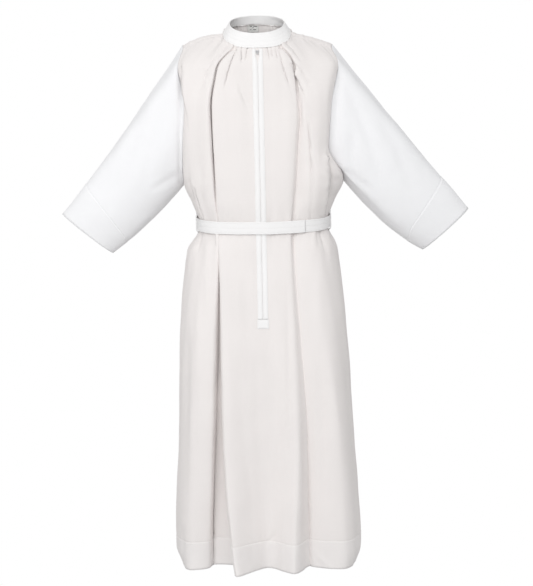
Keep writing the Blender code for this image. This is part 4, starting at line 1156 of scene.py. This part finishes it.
def stage_material():
    """A pale floor that stays even and bright to the camera."""
    made, tree, shader = principled("pale_floor", (0.60, 0.60, 0.60), 0.9)
    glow = tree.nodes.new("ShaderNodeEmission")
    glow.inputs["Strength"].default_value = 1.0
    seen = tree.nodes.new("ShaderNodeLightPath")
    both = tree.nodes.new("ShaderNodeMixShader")
    tree.links.new(seen.outputs["Is Camera Ray"], both.inputs[0])
    tree.links.new(shader.outputs[0], both.inputs[1])
    tree.links.new(glow.outputs[0], both.inputs[2])
    tree.links.new(both.outputs[0], tree.nodes["Material Output"].inputs["Surface"])
    return made


def finish_of(name):
    """A named finish, made the first time it is asked for."""
    named = "sewn_" + name
    found = bpy.data.materials.get(named)
    if found:
        return found
    sizes, colours = bpy.context.scene.alb_sizes, bpy.context.scene.alb_colours
    # The body colour carries painted shade and the sleeve colour carries painted light, as two copies of one
    # cloth
    body, sleeve, trim = tuple(colours.body), tuple(colours.sleeve), tuple(colours.trim)
    if name == "body_cloth":
        hem = mix(np.array(body), np.array(trim), HEM_SHADE)
        return cloth_material(named, body, sizes.thread, 0.06, HEM - sizes.hem_band, hem)
    if name == "sleeve_cloth":
        return cloth_material(named, sleeve, sizes.thread, 0.04)
    if name == "trim_cloth":
        return cloth_material(named, trim, sizes.thread, 0.03)
    if name == "tape_cloth":
        return cloth_material(named, trim, sizes.thread * 1.5, 0.04)
    if name == "label_cloth":
        return cloth_material(named, tuple(colours.label), sizes.thread * 0.6, 0.03)
    if name == "label_marks":
        return thread_material(named, tuple(colours.marks))
    if name == "sewing_thread":
        return thread_material(named, tuple(colours.thread))
    if name == "zip_teeth":
        return thread_material(named, trim)
    return metal_material(named, tuple(colours.zip))


# ---------------------------------------------------------------- what the operators share

MADE = {}


def sheet_piece(bm, node, thickness, finish="trim_cloth", slot=None):
    """A sheet of cloth that stands for a node. Its slot, called like its finish unless another is given, is
    passed on but not used.
    """
    piece = new_piece(bm, node + "_cloth", finish_of(finish))
    wall(piece, thickness)
    belongs(piece, slot or finish, node)
    MADE[node + "_piece"] = piece


def band_piece(points, lengths, profile, node):
    """A stitched band, which stands for a node."""
    piece = new_piece(closed_band(points, lengths, profile), node + "_cloth", finish_of("trim_cloth"))
    belongs(piece, "trim_cloth", node)
    MADE[node + "_piece"] = piece


def laid_rows(downs, across, place):
    """Points and normals worked out by place, a row for each distance down and a column for each across."""
    found = np.array([[place(down, x) for x in across] for down in downs])
    return found[:, :, 0], found[:, :, 1]


def sewn_grid(rows, normals):
    """The grid of a sheet that is sewn on, with its own flat lengths."""
    return laid_grid(rows, flat_lengths(rows), normals)


def run_on(points, normals, lift):
    """A run for stitches: a line of points lifted off the cloth, and the normals there."""
    return points + normals * lift, normals


def run_of(found):
    """A run for stitches, from pairs of a point and a normal."""
    points, normals = zip(*found)
    return np.array(points), np.array(normals)


def set_in(point, normal, size):
    """The matrix of a small part at a point: its size, with its depth along the normal."""
    turn = Vector((0, -1, 0)).rotation_difference(Vector(normal)).to_matrix().to_4x4()
    return Matrix.Translation(point) @ turn @ Matrix.Diagonal((*size, 1.0))


def belt_height(y):
    """How high the belt's middle is, that far back: it tilts."""
    return BELT_AT_SIDE + BELT_TILT * y


def outline_at(height):
    """The whole body's outline in plan at a height, from both finished panels."""
    found = []
    for cloth in (MADE["front"], MADE["back"]):
        low, high = np.searchsorted(cloth.downs, OUTLINE_DOWNS)
        part = cloth.points[low:high]
        row = []
        for column in range(part.shape[1]):
            z = -part[:, column, 2]
            row.append([np.interp(-height, z, part[:, column, k]) for k in (0, 1)])
        found.append(np.array(row))
    return np.concatenate([found[0], found[1][::-1]])


def radius_round(outline, angle):
    """How far out an outline reaches in a direction, in degrees from the front towards +X."""
    turn = math.radians(angle)
    ray = np.array([math.sin(turn), -math.cos(turn)])
    a, b = outline, np.roll(outline, -1, axis=0)
    edge = b - a
    across = ray[0] * edge[:, 1] - ray[1] * edge[:, 0]
    across = np.where(np.abs(across) < 1e-12, 1e-12, across)
    along = (a[:, 0] * edge[:, 1] - a[:, 1] * edge[:, 0]) / across
    share = (a[:, 0] * ray[1] - a[:, 1] * ray[0]) / across
    met = (along > 0) & (share >= 0) & (share <= 1)
    return along[met].max() if met.any() else 0.0


def belt_radii():
    """The belt's radius at each step round: the tightest smooth curve that clears the cloth."""
    inside = []
    for height in np.linspace(-0.535, -0.470, 14):
        outline = outline_at(height)
        near = np.abs(height - belt_height(outline[:, 1])) < BELT_HEIGHT / 2 + 0.002
        inside += [tuple(point) for point in outline[near]]
    hull = np.array([inside[i] for i in convex_hull_2d(inside)])
    tight = np.array([radius_round(hull, 360.0 * k / BELT_STEPS) for k in range(BELT_STEPS)])
    kernel = np.hanning(17)
    smooth = np.convolve(np.concatenate([tight[-8:], tight, tight[:8]]), kernel / kernel.sum(), "valid")
    return smooth + max(0.0, (tight - smooth).max()) + BELT_CLEAR + BELT_WALL / 2


def round_the_belt(angle):
    """The belt's radius at any angle, with the lift where its end laps over its start."""
    radii = MADE["belt_radii"]
    place = (angle % 360.0) / 360.0 * BELT_STEPS
    radius = np.interp(place, np.arange(BELT_STEPS + 1), np.append(radii, radii[0]))
    return radius + (BELT_WALL + BELT_CLEAR) * ease(*BELT_LAP_RISES, angle)


def polar(angle, radius, rise):
    """A point round the waist, that far above the belt's middle."""
    turn = math.radians(angle)
    y = -radius * math.cos(turn)
    return np.array([radius * math.sin(turn), y, belt_height(y) + rise])


def belt_point(angle, share, out):
    """A point of the belt, a share of its height up, and that far out from its middle surface."""
    sway = 0.0007 * noise.noise((angle / 19.0, 1.5, 3.3))
    lean = 0.0020 * noise.noise((angle / 31.0, 6.5, 3.3)) * (share - 0.5)
    return polar(angle, round_the_belt(angle) + out + max(0.0, lean), (share - 0.5) * BELT_HEIGHT + sway)


def belt_run(share):
    """A run for stitches round the belt, a share of its height up."""
    angles = np.linspace(BELT_START + 0.6, BELT_END - 0.6, 400)
    turns = np.radians(angles)
    points = np.array([belt_point(angle, share, BELT_WALL / 2 + 0.0001) for angle in angles])
    return points, np.array([np.sin(turns), -np.cos(turns), 0.0 * turns]).T


def carrier_point(rise, middle, k):
    """A point of a carrier, from -1 to 1 across it: on the cloth at its ends, and over the belt between."""
    angle = middle + k * CARRIER_HALF_ANGLE
    over = round_the_belt(angle) + BELT_WALL / 2 + 0.0009
    height = belt_height(-over * math.cos(math.radians(angle))) + rise
    cloth = radius_round(outline_at(height), angle) + 0.0012
    onto = ease(CARRIER_HALF - 0.002, BELT_HEIGHT / 2 + 0.0030, abs(rise))
    bulge = 0.0006 * (1 - k * k)
    return polar(angle, mix(cloth, max(over, cloth), onto) + bulge, rise)


def collar_point(share, angle, lift):
    """A point of the collar, a share of its height up, and that far out from its middle surface."""

    def middle(s, a):
        ring = {key: mix(COLLAR_FOOT[key], COLLAR_TOP[key], s) for key in COLLAR_FOOT}
        return oval_point(ring, a)

    here = middle(share, angle)
    up = middle(share + 0.01, angle) - middle(share - 0.01, angle)
    round_it = middle(share, angle + 0.2) - middle(share, angle - 0.2)
    out = np.cross(round_it, up)
    out /= np.linalg.norm(out)
    turn = math.radians(angle)
    broad = noise.noise((2.5 * math.cos(turn), 2.5 * math.sin(turn), share * 1.2 + 4.4))
    fine = noise.noise((8.2 * math.cos(turn), 8.2 * math.sin(turn), share * 2.0 + 8.4))
    soft = 0.0007 * broad + 0.0003 * fine
    return here + out * (lift + soft), out


def on_front(x, down, out):
    """A point that far out from the front's middle panel, and the normal there."""
    point, normal = MADE["front"].at_x(x, down)
    return point + out * normal, normal


def lip_point(sign, down, share):
    """A point of the left (-1) or the right (1) zip lip, a share of its width out, and the normal there."""
    parted = min(max((LIP_PARTED_FROM - down) / LIP_PARTING, 0.0), 1.0)
    wander = 0.0004 * noise.noise((3.0 * sign, down / 0.05, 2.2))
    x = sign * mix(mix(LIP_INNER, LIP_PARTED, parted), LIP_WIDTH, share) + wander * share
    rise = 0.0010 + 0.0006 * math.sin(math.pi * share) ** 0.8
    for seam in LIP_SEAMS:
        rise -= 0.00045 * bell(share, seam, 0.07)
    rise += 0.0003 * noise.noise((share * 2, down / 0.022, 6.1 + sign))
    return on_front(x, down, rise)


def tape_point(down, x):
    """A point of the zip's tape, behind the front, and the normal there."""
    return on_front(x, down, -TAPE_BEHIND)


def patch_point(down, x):
    """A point of the zip's end patch, whose edge is turned under and stitched, and the normal there."""
    inset = min(PATCH_HALF - abs(x), down - ZIP_END, ZIP_END + PATCH_HEIGHT - down)
    rise = 0.0012 + 0.0006 * ease(0.0, 0.004, inset) - 0.0005 * bell(inset, 0.0022, 0.0009)
    return on_front(x, down, rise)


def patch_runs():
    """The runs for stitches round the zip's end patch."""
    low, high = ZIP_END + PATCH_SEAM_IN + 0.0005, ZIP_END + PATCH_HEIGHT - PATCH_SEAM_IN
    half = PATCH_HALF - PATCH_SEAM_IN
    corners = [(-half, low), (half, low), (half, high), (-half, high), (-half, low)]
    runs = []
    for (x0, d0), (x1, d1) in zip(corners, corners[1:]):
        runs.append(run_of([on_front(mix(x0, x1, t), mix(d0, d1, t), 0.0019) for t in np.linspace(0, 1, 8)]))
    return runs


def zip_teeth():
    """The closed teeth, which part a little towards the slider."""
    bm = bmesh.new()
    for k in range(TOOTH["count"]):
        down = TOOTH["first"] + TOOTH["pitch"] * k
        spread = 0.0009 + 0.05 * max(0.0, SLIDER_DOWN - down)
        for sign, later in ((-1, 0.0), (1, TOOTH["pitch"] / 2)):
            point, normal = on_front(sign * spread, down + later, -TOOTH["behind"])
            place = set_in(point, normal, TOOTH["size"])
            bmesh.ops.create_uvsphere(bm, u_segments=6, v_segments=4, radius=0.5, matrix=place)
    return bm


def label_point(down, x):
    """A point of the neck label, inside the back, and the normal there."""
    point, normal = MADE["back"].at_x(x, down)
    return point - LABEL_BEHIND * normal, -normal


def label_bars():
    """The bars woven into the label."""
    bm = bmesh.new()
    for down, low, high in LABEL_BARS:
        point, normal = label_point(down, (low + high) / 2)
        place = set_in(point + 0.0004 * normal, normal, (high - low, *LABEL_BAR_SIZE))
        bmesh.ops.create_cube(bm, size=1.0, matrix=place)
    bmesh.ops.bevel(bm, geom=bm.edges[:], offset=0.00012, segments=1, profile=0.5, affect="EDGES")
    return bm


class PieceOperator:
    """What every piece's operator has."""

    bl_options = {"REGISTER", "UNDO"}


class ALB_OT_body(PieceOperator, bpy.types.Operator):
    """Builds the front and the back, with their pleats, gathers and hem"""

    bl_idname = "alb.body"
    bl_label = "Front and back"

    def execute(self, context):
        sizes = context.scene.alb_sizes
        for name, steps, folds in (("front", FRONT_STEPS, FRONT_FOLDS), ("back", BACK_STEPS, BACK_FOLDS)):
            cloth = body_cloth(name, steps, folds, sizes)
            MADE[name] = cloth
            down = np.repeat(cloth.downs[:, None], len(cloth.lines), axis=1)
            bm = laid_grid(cloth.points, np.dstack([arc_across(cloth.points), down]), cloth.normals)
            sheet_piece(bm, name, sizes.cloth, "body_cloth")
        return {"FINISHED"}


class ALB_OT_sleeves(PieceOperator, bpy.types.Operator):
    """Builds the two sleeves from the armholes to the turned cuffs"""

    bl_idname = "alb.sleeves"
    bl_label = "Sleeves"

    def execute(self, context):
        sizes = context.scene.alb_sizes
        for side in ("left", "right"):
            cloth = sleeve_cloth(side, MADE["front"], MADE["back"], sizes)
            MADE["sleeve_" + side] = cloth
            bm = laid_grid(cloth.points, flat_lengths(cloth.points), cloth.normals, closed=True)
            sheet_piece(bm, "sleeve_" + side, sizes.cloth, "sleeve_cloth")
        return {"FINISHED"}


class ALB_OT_collar(PieceOperator, bpy.types.Operator):
    """Builds the stand collar as a stitched double band, closed all round"""

    bl_idname = "alb.collar"
    bl_label = "Collar"

    def execute(self, context):
        profile = band_profile(COLLAR_HEIGHT, COLLAR_WALL, COLLAR_ROWS)
        angles = np.linspace(0.0, 360.0, COLLAR_STEPS + 1)
        shares = profile[:, 0] / COLLAR_HEIGHT
        outs = profile[:, 1]
        points = np.array([[collar_point(s, a, out)[0] for s, out in zip(shares, outs)] for a in angles])
        band_piece(points, np.radians(angles) * COLLAR_RADIUS, profile, "collar")
        runs = []
        for share in COLLAR_ROWS:
            around = np.linspace(0.8, 359.2, 300)
            runs.append(run_of([collar_point(share, a, COLLAR_WALL / 2 - 0.0002) for a in around]))
        for share in COLLAR_ROWS[::3]:
            around = np.linspace(90.0, 270.0, 150)
            points, normals = run_of([collar_point(share, a, -COLLAR_WALL / 2) for a in around])
            runs.append((points, -normals))
        MADE["collar_runs"] = runs
        return {"FINISHED"}


class ALB_OT_zip(PieceOperator, bpy.types.Operator):
    """Builds the lips over the zip, its tape and teeth, and the patch that ends it"""

    bl_idname = "alb.zip"
    bl_label = "Zip"

    def execute(self, context):
        runs = []
        downs = np.concatenate([np.linspace(LIP_TOP, 0.11, 34)[:-1], np.linspace(0.11, ZIP_END, 150)])
        for side, sign in (("left", -1), ("right", 1)):
            place = partial(lip_point, sign)
            rows, normals = laid_rows(downs, np.linspace(0.0, 1.0, 13), place)
            sheet_piece(sewn_grid(rows, normals), "zip_lip_" + side, LIP_WALL)
            runs += [run_on(rows[:, column], normals[:, column], STITCH_LIFT) for column in (2, 10)]

        across = np.linspace(-TAPE_HALF, TAPE_HALF, 7)
        tape = laid_rows(np.linspace(LIP_TOP, ZIP_END, 120), across, tape_point)
        sheet_piece(sewn_grid(*tape), "zip_tape", TAPE_WALL, "tape_cloth", "zip_tape")
        belongs(new_piece(zip_teeth(), "zip_teeth", finish_of("zip_teeth")), "zip_tape")

        downs = np.linspace(ZIP_END + 0.0006, ZIP_END + PATCH_HEIGHT, 15)
        patch = laid_rows(downs, np.linspace(-PATCH_HALF, PATCH_HALF, 19), patch_point)
        sheet_piece(sewn_grid(*patch), "zip_end_patch", LIP_WALL)
        MADE["zip_runs"] = runs + patch_runs()

        for node in ("zip_slider", "zip_pull_tab"):
            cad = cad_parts[node]
            cad.data.materials.clear()
            cad.data.materials.append(finish_of("zip_metal"))
        return {"FINISHED"}


class ALB_OT_belt(PieceOperator, bpy.types.Operator):
    """Builds the belt with its lapped end, and the carriers that hold it"""

    bl_idname = "alb.belt"
    bl_label = "Belt"

    def execute(self, context):
        MADE["belt_radii"] = belt_radii()
        profile = band_profile(BELT_HEIGHT, BELT_WALL, BELT_ROWS)
        shares = profile[:, 0] / BELT_HEIGHT
        angles = np.linspace(BELT_START, BELT_END, 360)
        points = np.array([[belt_point(a, s, out) for s, out in zip(shares, profile[:, 1])] for a in angles])
        band_piece(points, lengths_along(points[:, 0]), profile, "belt")
        runs = [belt_run(share) for share in BELT_ROWS]

        around = np.linspace(-1.0, 1.0, 9)
        for name, middle in (("left", -CARRIER_ANGLE), ("right", CARRIER_ANGLE)):
            rises = np.linspace(CARRIER_HALF, -CARRIER_HALF, 33)
            rows = np.array([[carrier_point(rise, middle, k) for k in around] for rise in rises])
            normals = normals_away(rows, (0.0, 0.0, BELT_AT_SIDE))
            sheet_piece(sewn_grid(rows, normals), "belt_loop_" + name, CARRIER_WALL)
            runs += [run_on(rows[:, column], normals[:, column], STITCH_LIFT) for column in (1, 7)]
        MADE["belt_runs"] = runs
        return {"FINISHED"}


class ALB_OT_label(PieceOperator, bpy.types.Operator):
    """Builds the neck label with plain woven bars"""

    bl_idname = "alb.label"
    bl_label = "Label"

    def execute(self, context):
        rows = laid_rows(np.linspace(*LABEL_DOWN, 12), np.linspace(*LABEL_ACROSS, 14), label_point)
        sheet_piece(sewn_grid(*rows), "neck_label", LABEL_WALL, "label_cloth")
        belongs(new_piece(label_bars(), "neck_label_bars", finish_of("label_marks")), "label_cloth")
        return {"FINISHED"}


class ALB_OT_stitching(PieceOperator, bpy.types.Operator):
    """Sews the rows of stitches on the collar, belt, zip, shoulders, hem and cuffs"""

    bl_idname = "alb.stitching"
    bl_label = "Stitching"

    def execute(self, context):
        sizes = context.scene.alb_sizes
        thread = finish_of("sewing_thread")
        lift = sizes.cloth / 2
        for name in ("collar", "belt", "zip"):
            belongs(stitch_runs(name + "_stitches", MADE[name + "_runs"], sizes.stitch, thread), "trim_cloth")
        for name, slot, pieces, down in (
            ("hem_stitches", "body_cloth", ("front", "back"), HEM - sizes.hem_band + 0.0026),
            ("cuff_stitches", "sleeve_cloth", ("sleeve_left", "sleeve_right"), SLEEVE_HEM_FROM + 0.006),
        ):
            runs = []
            for cloth in (MADE[piece] for piece in pieces):
                row = int(np.searchsorted(cloth.downs, down))
                runs.append(run_on(cloth.points[row], cloth.normals[row], lift))
            belongs(stitch_runs(name, runs, sizes.stitch * 1.15, thread), slot)
        runs = []
        front = MADE["front"]
        for row in (1, 3):
            for columns in (front.lines <= -5.0, front.lines >= 5.0):
                runs.append(run_on(front.points[row, columns], front.normals[row, columns], lift))
        belongs(stitch_runs("shoulder_stitches", runs, sizes.stitch, thread), "body_cloth")
        return {"FINISHED"}


def light_world(scene):
    """Even light all round, which is white to the camera and a little weaker on the cloth."""
    world = bpy.data.worlds.new("studio")
    scene.world = world
    world.use_nodes = True
    tree = world.node_tree
    air = tree.nodes["Background"]
    seen = tree.nodes.new("ShaderNodeLightPath")
    level = tree.nodes.new("ShaderNodeMapRange")
    level.inputs["To Min"].default_value = WORLD_LIGHT
    level.inputs["To Max"].default_value = 1.0
    tree.links.new(seen.outputs["Is Camera Ray"], level.inputs["Value"])
    tree.links.new(level.outputs["Result"], air.inputs["Strength"])
    air.inputs["Color"].default_value = (1.0, 1.0, 1.0, 1.0)


def place_lights(scene):
    """The two soft lights in front."""
    aim = Vector(LIGHTS_AIM)
    for name, place, size, energy in LIGHTS:
        data = bpy.data.lights.new(name, "AREA")
        data.shape = "SQUARE"
        data.size = size
        data.energy = energy
        lamp = bpy.data.objects.new(name, data)
        lamp.location = place
        lamp.rotation_euler = (aim - Vector(place)).to_track_quat("-Z", "Y").to_euler()
        scene.collection.objects.link(lamp)


def place_camera(scene):
    """The camera in front of the alb."""
    data = bpy.data.cameras.new("camera")
    data.lens = CAMERA_LENS
    data.sensor_width = 36.0
    camera = bpy.data.objects.new("camera", data)
    scene.collection.objects.link(camera)
    turn = Matrix.Rotation(math.radians(-CAMERA_YAW), 4, "Z")
    pitch = Matrix.Rotation(math.radians(90.0 - CAMERA_PITCH), 4, "X")
    roll = Matrix.Rotation(math.radians(-CAMERA_ROLL), 4, "Z")
    camera.matrix_world = Matrix.Translation(CAMERA_PLACE) @ turn @ pitch @ roll
    scene.camera = camera


class ALB_OT_stage(PieceOperator, bpy.types.Operator):
    """Builds the pale floor, the soft lights and the camera"""

    bl_idname = "alb.stage"
    bl_label = "Stage"

    def execute(self, context):
        bm = bmesh.new()
        bmesh.ops.create_grid(bm, x_segments=8, y_segments=8, size=FLOOR_HALF)
        bmesh.ops.translate(bm, vec=(0, 0, CAD_BOX[0].z - FLOOR_BELOW), verts=bm.verts)
        floor = new_piece(bm, "floor", stage_material())
        light_world(context.scene)
        place_lights(context.scene)
        place_camera(context.scene)
        context.scene.view_settings.view_transform = "Standard"
        return {"FINISHED"}


class ALB_PT_panel(bpy.types.Panel):
    """Lists the pieces and their sizes in the sidebar"""

    bl_idname = "ALB_PT_panel"
    bl_label = "Alb Robe"
    bl_space_type = "VIEW_3D"
    bl_region_type = "UI"
    bl_category = "Alb"

    def draw(self, context):
        for group in (context.scene.alb_sizes, context.scene.alb_colours):
            for name in group.bl_rna.properties.keys():
                if name not in ("rna_type", "name"):
                    self.layout.prop(group, name)
        for made in OPERATORS:
            self.layout.operator(made.bl_idname)


OPERATORS = (
    ALB_OT_stage,
    ALB_OT_body,
    ALB_OT_sleeves,
    ALB_OT_collar,
    ALB_OT_zip,
    ALB_OT_belt,
    ALB_OT_label,
    ALB_OT_stitching,
)
CLASSES = (AlbSizes, AlbColours, *OPERATORS, ALB_PT_panel)


def register():
    for made in CLASSES:
        bpy.utils.register_class(made)
    bpy.types.Scene.alb_sizes = bpy.props.PointerProperty(type=AlbSizes)
    bpy.types.Scene.alb_colours = bpy.props.PointerProperty(type=AlbColours)


def unregister():
    del bpy.types.Scene.alb_sizes
    del bpy.types.Scene.alb_colours
    for made in reversed(CLASSES):
        bpy.utils.unregister_class(made)


def main():
    register()
    for made in OPERATORS:
        group, name = made.bl_idname.split(".")
        getattr(getattr(bpy.ops, group), name)()


if __name__ == "__main__":
    main()
